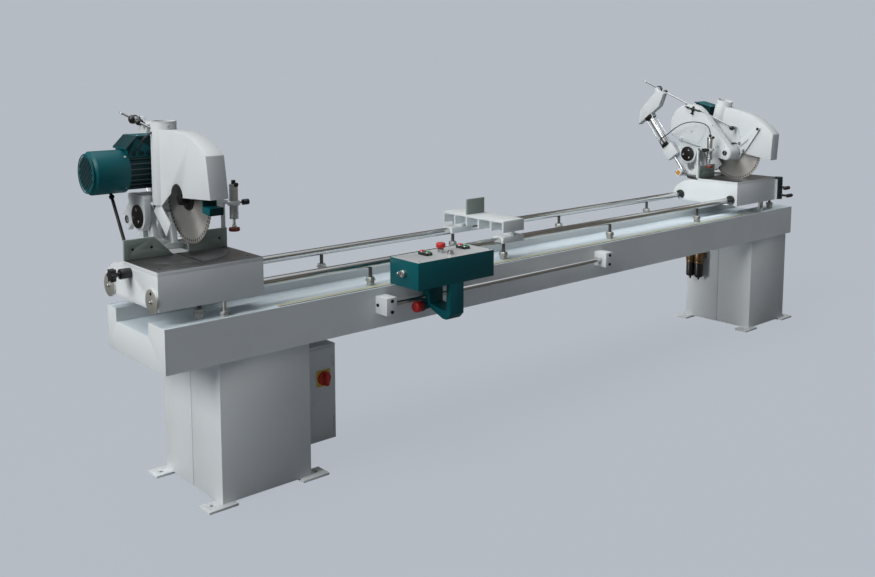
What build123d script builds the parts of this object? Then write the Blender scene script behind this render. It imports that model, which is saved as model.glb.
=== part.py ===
from build123d import *
import os
from math import atan2, cos, degrees, hypot, radians, sin, tan

# Double miter saw in millimetres: X along the bed, Y to the back, Z up from the floor.
# A head piece is drawn with X measured from its blade plane toward the middle of the bed,
# in the raised pose, then carried to the left head or mirrored to the right one.

# Bed, legs and feet
BED_LENGTH = 4470
BED_CENTRE = -95
BED_DEPTH = 500
BED_TOP = 755
BED_HEIGHT = 175
BED_WALL = 5
CHORD_FRONT = 134
CHORD_REAR = 82
TROUGH_DEPTH = 55
LEG_SPAN = 3790
LEG_WIDTH = 415
LEG_DEPTH = 472
LEG_WALL = 4
LEG_SEAM = 3
LEG_LIP = 25
FOOT_THICK = 10
FOOT_LENGTH = 128
FOOT_WIDTH = 82
FOOT_OVERLAP = 55
FOOT_HOLE_R = 9
FOOT_HOLE_OUT = 34
FOOT_HOLE_Y = 215

# Guide rails and their posts
RAIL_R = 17.5
RAIL_Y = 184
RAIL_Z = 851
RAIL_RIGHT = 1990
RAIL_CAP_R = 47
RAIL_CAP_THICK = 8
POST_FIRST = -2153
POST_PITCH = 825
POST_COUNT = 6
POST_R = 8
POST_NUT_R = 18
POST_NUT_HEIGHT = 22
RUN_CLEAR = 0.05

# Head places and table boxes
LEFT_HEAD = -2116
RIGHT_HEAD = 1733
TABLE_HALF = 223
TABLE_FRONT = -228
TABLE_REAR = 240
TABLE_BOTTOM = 816
DECK_Z = 950
TABLE_WALL = 10
TABLE_REAR_FLAT = 60
TABLE_REAR_DROP = 80
PLATE_THICK = 15
COLLAR_R = 28
COLLAR_THICK = 12
POST_SLOT = 26

# Turntable, fence and yoke
TURN_Y = 50
TURN_RIM = 23
TURN_R = TABLE_HALF - TURN_RIM
TURN_GAP = 0.5
DISC_LIFT = 0.3
HUB_R = 40
HUB_DEPTH = 60
KERF = 8
KERF_DEPTH = 11
TAIL_HALF = 74
TAIL_REAR = 316
FENCE_THICK = 10
FENCE_HEIGHT = 80
FENCE_HOLE_R = 5.5
FENCE_INNER_START = 48
FENCE_OUTER_START = 18
YOKE_FRONT = 152
YOKE_BASE = 24
CHEEK_OUT = (-48, -26)
CHEEK_IN = (34, 56)
CHEEK_R = 45
PIVOT_R = 20

# Points of a raised head, as (y, z)
PIVOT = (226, 1102)
SPINDLE = (-58, 1198)
MOTOR = (246, 1290)
LIFT = 13.2

# Blade and spindle
BLADE_R = 175
BLADE_THICK = 3.2
BLADE_TEETH = 60
TOOTH_DEPTH = 5
FLANGE_R = 44
SPINDLE_R = 20
NOSE_R = 40
NOSE_END = 10
ARBOR_R = 15
NUT_THICK = 14

# Arm casting and belt drive
ARM_FACE = 26
HOUSING_FACE = 72
HOUSING_INNER = 122
HOUSING_WALL = 11
COVER_THICK = 6
BOSS_R = 43
DISC_R = 140
FLANGE_RING_R = 92
CUT_Z = 1184
LUG_R = 60
LUG_IN = (60, 95)
LUG_OUT = (-80, -52)
PIVOT_CAP_R = 48
PIVOT_CAP_THICK = 7
SPINDLE_PULLEY_R = 22
MOTOR_PULLEY_R = 48
BELT_THICK = 6
BELT_WIDTH = 20
SHAFT_R = 12
BELT_CLEAR = 0.4
TRUNNION_R = 13
TRUNNION_EYE_R = 28
SPARE_EYE = (110, 80)
SPARE_SLANT = -42
SPARE_EDGE = 20

# Motor
COWL_R = 87
COWL_LEFT = -280
COWL_LENGTH = 148
BODY_R = 72
FIN_HEIGHT = 6
FIN_THICK = 4
FIN_COUNT = 22
TERMINAL_LENGTH = 150
TERMINAL_WIDTH = 110
TERMINAL_TOP = 1432
TERMINAL_SLOPE = 38
ROOF_THICK = 6
ROOF_LAP = 8
COWL_WALL = 3
COWL_LAP = 14
COWL_CHAMFER = 16
VENT_SIDE = 4
VENT_PITCH = 12
FAN_BLADES = 6
FAN_BLADE = 6
FAN_HUB_R = 24
FAN_DEPTH = 30

# Guard and its dust spout
GUARD_OUT = -50
GUARD_IN = 26
GUARD_WALL = 4
SPOUT_U = -12
SPOUT_Y = 113
SPOUT_R = 52
SPOUT_TOP = 1493
SPOUT_MOUTH_R = 50
SPOUT_BOTTOM = 1160
GUARD_TOP = 1460
GUARD_NOSE = -290
GUARD_ROLL = 76
GUARD_RAKE = 27
KEYHOLE_R = 46
LEG_KNEE = (79, 1158)
LEG_FRONT = (4, 1095)
LEG_FOOT = (43, 1042)
LEG_REAR = (144, 1130)

# Swing guard, bell crank, link and rod
LEVER_PIN = (-86.6, 1264.9)
KNOB_PIN = (-79, 1368)
LINK_PIN = (-232.8, 1332.4)
SWING_PIN = (-133.7, 1191)
ROD_ANCHOR = (523.8, 1472.9)
LEVER_TURN = -26.5
SWING_TURN = -29.15
LINK_TURN = 11.8
ROD_TURN = 5.98
LINKAGE_PIN_R = 7
ROD_R = 4.5
ROD_U = 58
ROD_TAIL = 150
SWING_RIM_R = 182
SWING_LIP = 52
SWING_ARC = (125, 189)
SWING_HUB = 10
SWING_U = (12, 17)
SLOT_R = 11
LEVER_U = (28, 34)
LINK_U = (35, 39)
LEVER_HUB_R = 16
LEVER_EYE_R = 12
OPEN_CLEAR = 2.6
EYE_R = 13
EYE_THICK = 10
CLAMP_HUB_R = 15

# Feed cylinder
TRUNNION = (342.2, 1076.1)
FEED_FOOT = (246, 979)
FEED_TURN = -7.01
FEED_STROKE = 22.2
FEED_U = 102
FEED_BLOCK = 92
FEED_WIDTH = 40
BARREL_R = 25
BARREL_START = 78
BARREL_END = 276
FEED_ROD_R = 9
FEED_EYE_R = 14
FEED_PIN_R = 7
RUN_GAP = 4
CAP_LENGTH = 24
TIE_R = 4
CAP_HALF_U = 26
FEED_EYE_THICK = 28
COVER_WIDTH = 46
COVER_BACK = 98
COVER_FRONT = 112
COVER_RISE = 92

# Clamps
CLAMP_INSET = 5
CLAMP_U = TABLE_HALF - CLAMP_INSET
CLAMP_Y = -20
CLAMP_R = 17.5
CLAMP_BOTTOM = 1091
CLAMP_TOP = 1233
CLAMP_RING_Z = 1155
CLAMP_ROD_R = 6
PAD_R = 22.5
PAD_Z = 1040
PAD_THICK = 14
CLAMP_RING = 16
CLAMP_GUIDE = 70
POST_WIDTH = 14
POST_THICK = 12

# Turntable locks, pointer and cords
LOCK_Y = 2
LOCK_Z = 928
LOCK_R = 20
LOCK_PLUNGER = 42
LOCK_PIN_R = 8
LOCK_LOBES = 6
LOCK_OUT = 33
LOCK_U = -TABLE_HALF - LOCK_OUT
LOCK_COLUMN = 142
LOCK_COLUMN_R = 27
LOCK_LEVER_Y = -232
LOCK_REACH = 70
LEVER_THICK = 16
POINTER_U = -85
POINTER_LENGTH = 40
CABLE_R = 4
CABLE_DROP = 10
HOSE_R = 3
HOSE_ACROSS = 10
HOSE_LEAN = 41
HOSE_RUN = 370
HOSE_RISE = 72
HOSE_SWING = 52
HOSE_DROP = 50
HOSE_ARCH = ((0.01, 0.4), (0.07, 0.8), (0.2, 1), (0.38, 1.04), (0.58, 0.85), (0.77, 0.38), (0.93, -0.24))

# Scale on the bed and the air filter on the right leg
SCALE_ENDS = (-1830, 1778)
SCALE_EDGE = 6
SCALE_WIDTH = 34
SCALE_THICK = 1.5
FILTER_R = 30
FILTER_Y = 118
FILTER_PITCH = 63
FILTER_TOP = 465
FILTER_HEAD = 63
FILTER_BOWL = 112
FILTER_BRACKET = 16

# Cabinet, air unit, control box and middle support
CABINET_DEPTH = 226
CABINET_FRONT = -100
CABINET_WIDTH = 330
CABINET_BOTTOM = 77
CABINET_TOP = 504
SWITCH_OUT = 159.5
SWITCH_X = -LEG_SPAN / 2 + LEG_WIDTH / 2 + SWITCH_OUT
SWITCH_Z = 361
SWITCH_R = 31
SWITCH_STEM_R = 8
SWITCH_BASE = 10
DOOR_INSET = 12
DOOR_THICK = 4
CONTROL_RAIL_R = 11
CONTROL_RAIL_Y = -290
CONTROL_RAIL_Z = 685
CONTROL_RAIL_ENDS = (-1352, 170)
CONTROL_LEFT = -1280
CONTROL_RIGHT = -835
CONTROL_FRONT = -450
CONTROL_REAR = -262
CONTROL_BOTTOM = 768
CONTROL_TOP = 886
CONTROL_WALL = 4
BUTTON_R = 11
BUTTON_TRAVEL = 5
BUTTON_PITCH = 18
BUTTON_DEPTH = 16
BLOCK_X = (-1140, -915)
BLOCK_Y = -332
BLOCK_HEIGHT = 12
STOP_X = -1054
STOP_Y = -338
STOP_R = 21
STOP_STEM = 18
STOP_HEAD = 20
STEM_R = 8
FEED_BUTTON_Y = -402
FEED_BUTTON_R = 12
SEAT_GAP = 0.3
HOOK_X = (-1100, -1020)
HOOK_LOW = 607
HOOK_STRAP = 24
KNOB_R = 24
KNOB_LENGTH = 46
BRACKET_SIZE = 76
BRACKET_LENGTH = 56
SUPPORT_X = -467
SUPPORT_HALF = 72
SUPPORT_TOP = 950
SUPPORT_FOOT = 34
SUPPORT_FLANGE = 10
SUPPORT_DEPTH = 56
SUPPORT_WEB = 14
SUPPORT_RIBS = 4
STOP_PLATE = 120


def block(x, y, z):
    """Box between three (low, high) pairs."""
    pairs = (x, y, z)
    sizes = [high - low for low, high in pairs]
    middle = [(high + low) / 2 for low, high in pairs]
    return Pos(*middle) * Box(*sizes)


def rod_x(r, x, y, z):
    """Round bar along X between the two values of x."""
    return Pos((x[0] + x[1]) / 2, y, z) * Rot(0, 90, 0) * Cylinder(r, x[1] - x[0])


def rod_y(r, x, y, z):
    """Round bar along Y between the two values of y."""
    return Pos(x, (y[0] + y[1]) / 2, z) * Rot(90, 0, 0) * Cylinder(r, y[1] - y[0])


def rod_z(r, x, y, z):
    """Round bar along Z between the two values of z."""
    return Pos(x, y, (z[0] + z[1]) / 2) * Cylinder(r, z[1] - z[0])


def outline(*points):
    """Flat face with straight sides."""
    return make_face(Polyline(*points, close=True))


def disc(r, point):
    """Flat round face about a point."""
    return Pos(*point) * Circle(r)


def hull(*discs):
    """Face stretched like a band round several discs."""
    edges = [edge for face in discs for edge in face.edges()]
    return make_hull(edges)


def slab(face, u):
    """Face drawn in (y, z), given thickness along X between the two values of u."""
    return extrude(Plane.YZ.offset(u[0]) * face, amount=u[1] - u[0])


def turned(shape, point, angle):
    """Shape turned about an X line through a (y, z) point."""
    return Pos(0, *point) * Rot(angle, 0, 0) * Pos(0, -point[0], -point[1]) * shape


def polar(centre, radius, angle):
    """Point at a distance and angle from a centre, from +Y toward +Z."""
    turn = radians(angle)
    return (centre[0] + radius * cos(turn), centre[1] + radius * sin(turn))


def sector(centre, radii, angles):
    """Ring segment between two radii and two angles."""
    middle = (angles[0] + angles[1]) / 2
    inner = [polar(centre, radii[0], a) for a in (angles[0], middle, angles[1])]
    outer = [polar(centre, radii[1], a) for a in (angles[0], middle, angles[1])]
    sides = [
        ThreePointArc(*inner),
        Line(inner[2], outer[2]),
        ThreePointArc(*reversed(outer)),
        Line(outer[0], inner[0]),
    ]
    return make_face(sides)


nodes = {}


def keep(name, *shapes):
    """File the solids of one or more shapes under a node's name."""
    solids = [solid for shape in shapes for solid in shape.solids()]
    nodes[name] = solids


def table_profile():
    """Side outline of a table box, with the rounded back that falls away behind the fence."""
    flat_end = TURN_Y + TABLE_REAR_FLAT
    shoulder = (TABLE_REAR - TABLE_REAR_FLAT, DECK_Z - TABLE_REAR_DROP / 4)
    back = (TABLE_REAR, DECK_Z - TABLE_REAR_DROP)
    return make_face([
        Line((TABLE_REAR, TABLE_BOTTOM), (TABLE_FRONT, TABLE_BOTTOM)),
        Line((TABLE_FRONT, TABLE_BOTTOM), (TABLE_FRONT, DECK_Z)),
        Line((TABLE_FRONT, DECK_Z), (flat_end, DECK_Z)),
        ThreePointArc((flat_end, DECK_Z), shoulder, back),
        Line(back, (TABLE_REAR, TABLE_BOTTOM)),
    ])


def table_box(sliding):
    """Hollow box casting, open below, bored for the hub and the two rails."""
    profile = table_profile()
    inside = offset(profile, -TABLE_WALL)
    inner_half = TABLE_HALF - TABLE_WALL
    box = slab(profile, (-TABLE_HALF, TABLE_HALF))
    box -= slab(inside, (-inner_half, inner_half))
    mouth = (TABLE_BOTTOM - 1, TABLE_BOTTOM + TABLE_WALL + 1)
    depth = (TABLE_FRONT + TABLE_WALL, TABLE_REAR - TABLE_WALL)
    box -= block((-inner_half, inner_half), depth, mouth)
    hub_low = DECK_Z - HUB_DEPTH
    box += rod_z(HUB_R + TABLE_WALL, 0, TURN_Y, (hub_low, DECK_Z))
    box -= rod_z(HUB_R + RUN_CLEAR, 0, TURN_Y, (hub_low - 1, DECK_Z + 1))
    inner_end = TABLE_HALF + COLLAR_THICK
    reach = (-TABLE_HALF - 1, inner_end + 1)
    collars = []
    for y in (-RAIL_Y, RAIL_Y):
        bore = rod_x(RAIL_R + RUN_CLEAR, reach, y, RAIL_Z)
        if sliding:
            slot = (y - POST_SLOT / 2, y + POST_SLOT / 2)
            bore += block(reach, slot, (TABLE_BOTTOM - COLLAR_R, RAIL_Z))
            collars.append(rod_x(COLLAR_R, (TABLE_HALF, inner_end), y, RAIL_Z) - bore)
        box -= bore
    return [box] + collars


def levelling_bolt():
    """Bolt and nut that carry the front wall of the fixed table on the bed."""
    y = TABLE_FRONT + TABLE_WALL / 2
    bolt = rod_z(POST_R, FENCE_INNER_START, y, (BED_TOP, TABLE_BOTTOM))
    nut_z = (BED_TOP, BED_TOP + POST_NUT_HEIGHT)
    nut = extrude(Pos(FENCE_INNER_START, y, nut_z[0]) * RegularPolygon(POST_NUT_R, 6), POST_NUT_HEIGHT)
    return bolt + nut


def table_plate():
    """Dark table plate with its round cut-out."""
    top = DECK_Z + PLATE_THICK
    plate = block((-TABLE_HALF, TABLE_HALF), (TABLE_FRONT, TURN_Y + FENCE_THICK), (DECK_Z, top))
    return plate - rod_z(TURN_R + TURN_GAP, 0, TURN_Y, (DECK_Z - 1, top + 1))


def fence_plates():
    """Two fence plates: the outer one slopes away from the blade, the inner one is square."""
    foot = DECK_Z + PLATE_THICK
    low = foot + TURN_GAP
    top = foot + FENCE_HEIGHT
    depth = (TURN_Y, TURN_Y + FENCE_THICK)
    plane = Plane.XZ.offset(-depth[1])
    outer_face = outline(
        (-TABLE_HALF, low), (-FENCE_OUTER_START, low),
        (-FENCE_OUTER_START - FENCE_HEIGHT, top), (-TABLE_HALF, top),
    )
    outer = extrude(plane * outer_face, amount=FENCE_THICK)
    inner = block((FENCE_INNER_START, TABLE_HALF), depth, (low, top))
    foot_start = TURN_R + 2 * TURN_GAP
    outer += block((-TABLE_HALF, -foot_start), depth, (foot, low + 1))
    inner += block((foot_start, TABLE_HALF), depth, (foot, low + 1))
    hole_z = foot + FENCE_HEIGHT / 2
    span = TABLE_HALF - FENCE_INNER_START
    for share in (0.2, 0.75):
        u = TABLE_HALF - span * share
        inner -= rod_y(FENCE_HOLE_R, u, (depth[0] - 1, depth[1] + 1), hole_z)
    for share in (0.2, 0.65):
        u = -TABLE_HALF + span * share
        outer -= rod_y(FENCE_HOLE_R, u, (depth[0] - 1, depth[1] + 1), hole_z)
    return [outer, inner]


def clamp_stand():
    """Clamp cylinder held in a split ring on a flat post behind the inner fence."""
    fence_back = TURN_Y + FENCE_THICK
    foot = DECK_Z + PLATE_THICK + TURN_GAP
    ring_z = (CLAMP_RING_Z - CLAMP_RING / 2, CLAMP_RING_Z + CLAMP_RING / 2)
    post_u = (TABLE_HALF - POST_WIDTH, TABLE_HALF)
    stand = block(post_u, (fence_back, fence_back + POST_THICK), (foot, ring_z[1]))
    stand += block(post_u, (CLAMP_Y, fence_back + POST_THICK), ring_z)
    stand += rod_z(CLAMP_R + CLAMP_RING / 2, CLAMP_U, CLAMP_Y, ring_z)
    stand -= rod_z(CLAMP_R, CLAMP_U, CLAMP_Y, (ring_z[0] - 1, ring_z[1] + 1))
    barrel = rod_z(CLAMP_R, CLAMP_U, CLAMP_Y, (CLAMP_BOTTOM, CLAMP_TOP))
    barrel += rod_z(CLAMP_R / 2, CLAMP_U, CLAMP_Y, (CLAMP_TOP, CLAMP_TOP + CLAMP_RING))
    barrel -= rod_z(CLAMP_ROD_R + RUN_CLEAR, CLAMP_U, CLAMP_Y, (CLAMP_BOTTOM - 1, CLAMP_TOP - CLAMP_RING))
    knob_u = CLAMP_U + CLAMP_R + CLAMP_RING / 2
    stud = rod_x(CLAMP_ROD_R / 2, (knob_u - 2, knob_u + CLAMP_RING), CLAMP_Y, CLAMP_RING_Z)
    knob = rod_x(CLAMP_ROD_R * 2, (knob_u + CLAMP_RING, knob_u + CLAMP_RING * 2.6), CLAMP_Y, CLAMP_RING_Z)
    stud -= rod_z(CLAMP_R, CLAMP_U, CLAMP_Y, ring_z)
    return [stand + stud, barrel, knob]


def clamp_plunger():
    """Clamp rod with its red pad."""
    rod = rod_z(CLAMP_ROD_R, CLAMP_U, CLAMP_Y, (PAD_Z + PAD_THICK, CLAMP_BOTTOM + CLAMP_GUIDE))
    pad = rod_z(PAD_R, CLAMP_U, CLAMP_Y, (PAD_Z, PAD_Z + PAD_THICK))
    pad = chamfer(pad.edges().group_by(Axis.Z)[0], PAD_THICK / 6)
    return [rod, pad]


def turntable_disc():
    """Turntable with its hub, the kerf for the blade and the tail that carries the yoke."""
    low = DECK_Z + DISC_LIFT
    top = DECK_Z + PLATE_THICK
    table = rod_z(TURN_R, 0, TURN_Y, (low, top))
    table += block((-TAIL_HALF, TAIL_HALF), (TURN_Y, TAIL_REAR), (low, top))
    table += rod_z(HUB_R, 0, TURN_Y, (DECK_Z - HUB_DEPTH, low))
    kerf_front = TURN_Y - TURN_R - 1
    kerf_back = TURN_Y + FENCE_THICK
    table -= block((-KERF / 2, KERF / 2), (kerf_front, kerf_back), (top - KERF_DEPTH, top + 1))
    return table


def yoke():
    """Two cheeks on a base that carry the pivot, with the lug for the feed cylinder's foot."""
    floor = DECK_Z + PLATE_THICK
    rear = TAIL_REAR - YOKE_BASE / 4
    corner = YOKE_BASE / 2
    cheek = hull(
        disc(CHEEK_R, PIVOT),
        disc(corner, (YOKE_FRONT + corner, floor + corner)),
        disc(corner, (rear - corner, floor + corner)),
    )
    arch_r = CHEEK_R * 0.6
    arch_low = (PIVOT[0], floor + YOKE_BASE + arch_r)
    arch = hull(disc(arch_r, arch_low), disc(arch_r, (PIVOT[0], PIVOT[1] - CHEEK_R - arch_r)))
    cheek -= arch
    cheek -= disc(PIVOT_R + RUN_CLEAR, PIVOT)
    lug_u = FEED_U - FEED_WIDTH / 2 - RUN_GAP
    body = slab(cheek, CHEEK_OUT) + slab(cheek, CHEEK_IN)
    body += block((CHEEK_OUT[0], lug_u), (YOKE_FRONT, rear), (floor, floor + YOKE_BASE))
    lug = hull(disc(FEED_EYE_R, FEED_FOOT), disc(FEED_EYE_R, (FEED_FOOT[0], floor + FEED_EYE_R)))
    body += slab(lug, (lug_u - YOKE_BASE / 2, lug_u))
    body += slab(disc(FEED_PIN_R, FEED_FOOT), (lug_u - 1, FEED_U + FEED_WIDTH / 2))
    return body


def solenoid():
    """Small valve on the yoke beside the feed cylinder's foot."""
    floor = DECK_Z + PLATE_THICK
    u = FEED_U - FEED_WIDTH / 2 - RUN_GAP
    y = FEED_FOOT[0] + FEED_EYE_R + 4 * RUN_GAP
    return block((u, u + FEED_WIDTH * 0.8), (y, y + FEED_WIDTH * 0.8), (floor, floor + YOKE_BASE))


def housing_face(inset):
    """Belt housing outline: a small round end at the spindle, a large one at the motor, cut flat below."""
    face = hull(disc(BOSS_R - inset, SPINDLE), disc(DISC_R - inset, MOTOR))
    line = CUT_Z + inset
    low = MOTOR[1] - DISC_R - BOSS_R
    far = MOTOR[0] + DISC_R + BOSS_R
    start = SPINDLE[0] + BOSS_R
    return face - outline((start - BOSS_R / 2, low), (start + 2 * BOSS_R, line), (far, line), (far, low))


def spare_eye():
    """Squared eye behind the outer lug, bored for a trunnion so that the casting suits either hand."""
    length, width = SPARE_EYE
    middle = polar(TRUNNION, SPARE_EDGE - length / 2, SPARE_SLANT)
    plate = Pos(*middle) * Rot(0, 0, SPARE_SLANT) * Rectangle(length, width)
    return plate - disc(TRUNNION_R, TRUNNION)


def arm_casting():
    """Arm: spindle tube, belt housing, motor ring and the lugs either side of the yoke."""
    arm = slab(housing_face(0), (HOUSING_FACE, HOUSING_INNER))
    arm += slab(disc(FLANGE_RING_R, MOTOR), (ARM_FACE, HOUSING_FACE))
    arm += slab(disc(BOSS_R, SPINDLE), (ARM_FACE, HOUSING_FACE))
    arm += slab(disc(NOSE_R, SPINDLE), (NOSE_END, ARM_FACE))
    rib = (MOTOR[1] - FLANGE_RING_R / 2, MOTOR[1] + GUARD_WALL)
    arm += block((ARM_FACE, HOUSING_FACE), (SPOUT_Y - SPOUT_R * 1.6, SPOUT_Y), rib)
    corner = LUG_R / 4
    bridge_y = (PIVOT[0] - LUG_R + corner, PIVOT[0] + LUG_R + corner)
    bridge_z = CUT_Z - corner / 2
    bridge = [disc(corner, (y, bridge_z)) for y in bridge_y]
    lug = hull(disc(LUG_R, PIVOT), *bridge)
    tail = hull(disc(LUG_R, PIVOT), disc(TRUNNION_EYE_R, TRUNNION))
    arm += slab(lug, LUG_IN) + slab(lug, LUG_OUT)
    arm += slab(tail, (LUG_IN[0], FEED_U - FEED_WIDTH / 2 - RUN_GAP / 2))
    bridge_u = (LUG_OUT[1] - corner, LUG_IN[0] + corner)
    arm += block(bridge_u, bridge_y, (bridge_z - corner, bridge_z + corner * 0.9))
    arm += slab(spare_eye(), (LUG_OUT[0] + corner / 4, LUG_OUT[1] - corner / 4))
    trunnion_end = FEED_U - FEED_ROD_R - RUN_GAP / 2
    arm += slab(disc(TRUNNION_R, TRUNNION), (LUG_IN[0] + TRUNNION_R, trunnion_end))
    arm -= slab(housing_face(HOUSING_WALL), (HOUSING_FACE + HOUSING_WALL, HOUSING_INNER + 1))
    arm -= slab(disc(SPINDLE_R + RUN_CLEAR, SPINDLE), (NOSE_END - 1, HOUSING_INNER))
    arm -= slab(disc(SHAFT_R + RUN_GAP, MOTOR), (ARM_FACE - 1, HOUSING_INNER))
    arm -= slab(disc(PIVOT_R + RUN_CLEAR, PIVOT), (LUG_OUT[0] - 1, LUG_IN[1] + 1))
    return arm


def pivot_pin():
    """Pivot pin with a dark disc on each end."""
    ends = (LUG_OUT[0], LUG_IN[1])
    pin = slab(disc(PIVOT_R, PIVOT), ends)
    pin += slab(disc(PIVOT_CAP_R, PIVOT), (ends[0] - PIVOT_CAP_THICK, ends[0]))
    pin += slab(disc(PIVOT_CAP_R, PIVOT), (ends[1], ends[1] + PIVOT_CAP_THICK))
    return pin


def belt_cover():
    """Cover plate of the belt housing with its half-moon swell and the round cap at the spindle."""
    outer = HOUSING_INNER + COVER_THICK
    cover = slab(housing_face(0), (HOUSING_INNER, outer))
    cover += slab(disc(BOSS_R * 0.85, SPINDLE), (outer, outer + COVER_THICK / 2))
    half_moon = disc(DISC_R - HOUSING_WALL, MOTOR) & housing_face(HOUSING_WALL)
    cover += slab(half_moon, (outer, outer + COVER_THICK / 2))
    return cover


def blade_face():
    """Saw blade outline with pointed teeth and its bore."""
    pitch = 360 / BLADE_TEETH
    points = []
    for tooth in range(BLADE_TEETH):
        angle = tooth * pitch
        points.append(polar(SPINDLE, BLADE_R, angle))
        points.append(polar(SPINDLE, BLADE_R - TOOTH_DEPTH, angle + pitch * 0.3))
    return outline(*points) - disc(ARBOR_R + RUN_CLEAR, SPINDLE)


def spindle_shaft():
    """Spindle with the blade flanges, the nut and the driven pulley."""
    half = BLADE_THICK / 2
    seat = NOSE_END - RUN_GAP / 2
    pulley = belt_span()
    shaft = slab(disc(SPINDLE_R, SPINDLE), (seat, pulley[0]))
    shaft += slab(disc(FLANGE_R, SPINDLE), (half, seat))
    shaft += slab(disc(ARBOR_R, SPINDLE), (-FLANGE_R, half))
    shaft += slab(disc(FLANGE_R, SPINDLE), (-seat, -half))
    shaft += slab(disc(SPINDLE_PULLEY_R, SPINDLE), pulley)
    hexagon = Pos(*SPINDLE) * RegularPolygon(ARBOR_R * 1.6, 6)
    nut = extrude(Plane.YZ.offset(-FLANGE_R + 2) * hexagon, NUT_THICK)
    return shaft + nut


def belt_span():
    """Start and end of the belt pulleys along the spindle."""
    start = HOUSING_FACE + HOUSING_WALL + RUN_GAP
    return (start, start + BELT_WIDTH + RUN_GAP)


def rotor_shaft():
    """Motor shaft with its cooling fan and the driving pulley."""
    fan_start = COWL_LEFT + COWL_WALL + 4 * RUN_GAP
    shaft = slab(disc(SHAFT_R, MOTOR), (fan_start, belt_span()[1]))
    shaft += slab(disc(MOTOR_PULLEY_R, MOTOR), belt_span())
    fan = disc(FAN_HUB_R, MOTOR)
    for blade in range(FAN_BLADES):
        tip = polar(MOTOR, COWL_R - COWL_WALL - 2 * RUN_GAP, blade * 360 / FAN_BLADES)
        fan += hull(disc(FAN_BLADE / 2, MOTOR), disc(FAN_BLADE / 2, tip))
    return shaft + slab(fan, (fan_start, fan_start + FAN_DEPTH))


def belt_loop():
    """Drive belt round both pulleys."""
    inner = hull(disc(SPINDLE_PULLEY_R + BELT_CLEAR, SPINDLE), disc(MOTOR_PULLEY_R + BELT_CLEAR, MOTOR))
    outside = BELT_CLEAR + BELT_THICK
    outer = hull(disc(SPINDLE_PULLEY_R + outside, SPINDLE), disc(MOTOR_PULLEY_R + outside, MOTOR))
    start = belt_span()[0] + RUN_GAP / 2
    return slab(outer - inner, (start, start + BELT_WIDTH))


def motor_pieces():
    """Finned motor body, fan cowl with a slotted back, and the terminal box with its roof."""
    shield_end = COWL_LEFT + COWL_LENGTH
    shield_start = shield_end - COWL_LAP
    cowl_bore = COWL_R - COWL_WALL
    profile = disc(BODY_R, MOTOR)
    for fin in range(FIN_COUNT):
        turn = Pos(*MOTOR) * Rot(0, 0, 360 * (fin + 0.5) / FIN_COUNT)
        profile += turn * Pos(BODY_R + FIN_HEIGHT / 2 - 1, 0) * Rectangle(FIN_HEIGHT + 2, FIN_THICK)
    body = slab(profile, (shield_end, ARM_FACE))
    body += slab(disc(cowl_bore - RUN_CLEAR, MOTOR), (shield_start, shield_end))
    body -= slab(disc(SHAFT_R + RUN_CLEAR, MOTOR), (shield_start - 1, ARM_FACE + 1))
    cowl = slab(disc(COWL_R, MOTOR), (COWL_LEFT, shield_end))
    cowl = chamfer(cowl.edges().group_by(Axis.X)[0], COWL_CHAMFER)
    cowl -= slab(disc(cowl_bore - COWL_CHAMFER, MOTOR), (COWL_LEFT + COWL_WALL, shield_end))
    cowl -= slab(disc(cowl_bore, MOTOR), (COWL_LEFT + COWL_CHAMFER, shield_end + 1))
    reach = (COWL_R - COWL_CHAMFER) * 0.85
    for step in range(-VENT_SIDE, VENT_SIDE + 1):
        offset_y = step * VENT_PITCH
        half = (reach ** 2 - offset_y ** 2) ** 0.5
        cowl -= block(
            (COWL_LEFT - 1, COWL_LEFT + COWL_WALL + 1),
            (MOTOR[0] + offset_y - VENT_PITCH / 4, MOTOR[0] + offset_y + VENT_PITCH / 4),
            (MOTOR[1] - half, MOTOR[1] + half),
        )
    roof = TERMINAL_TOP - ROOF_THICK
    left = shield_end
    right = left + TERMINAL_LENGTH
    slope = TERMINAL_SLOPE
    box_face = outline(
        (left, MOTOR[1]), (left, roof - slope), (left + slope, roof), (right, roof), (right, MOTOR[1]),
    )
    lid_face = outline(
        (left - ROOF_LAP, roof - slope - ROOF_LAP), (left + slope, roof), (right + ROOF_LAP, roof),
        (right + ROOF_LAP, TERMINAL_TOP), (left + slope, TERMINAL_TOP),
        (left - ROOF_LAP, TERMINAL_TOP - slope - ROOF_LAP),
    )
    half_width = TERMINAL_WIDTH / 2
    plane = Plane.XZ.offset(-MOTOR[0] - half_width)
    lid_plane = Plane.XZ.offset(-MOTOR[0] - half_width - ROOF_LAP)
    box = extrude(plane * box_face, amount=TERMINAL_WIDTH)
    box -= slab(disc(BODY_R + FIN_HEIGHT, MOTOR), (left - 1, right + 1))
    seat_y = (MOTOR[0] - FIN_THICK / 2, MOTOR[0] + FIN_THICK / 2)
    seat = block((left, left + slope), seat_y, (MOTOR[1], roof - slope))
    lid = extrude(lid_plane * lid_face, amount=TERMINAL_WIDTH + 2 * ROOF_LAP)
    box += seat - slab(profile, (left - 1, right))
    return [body, cowl, box, lid]


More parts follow.
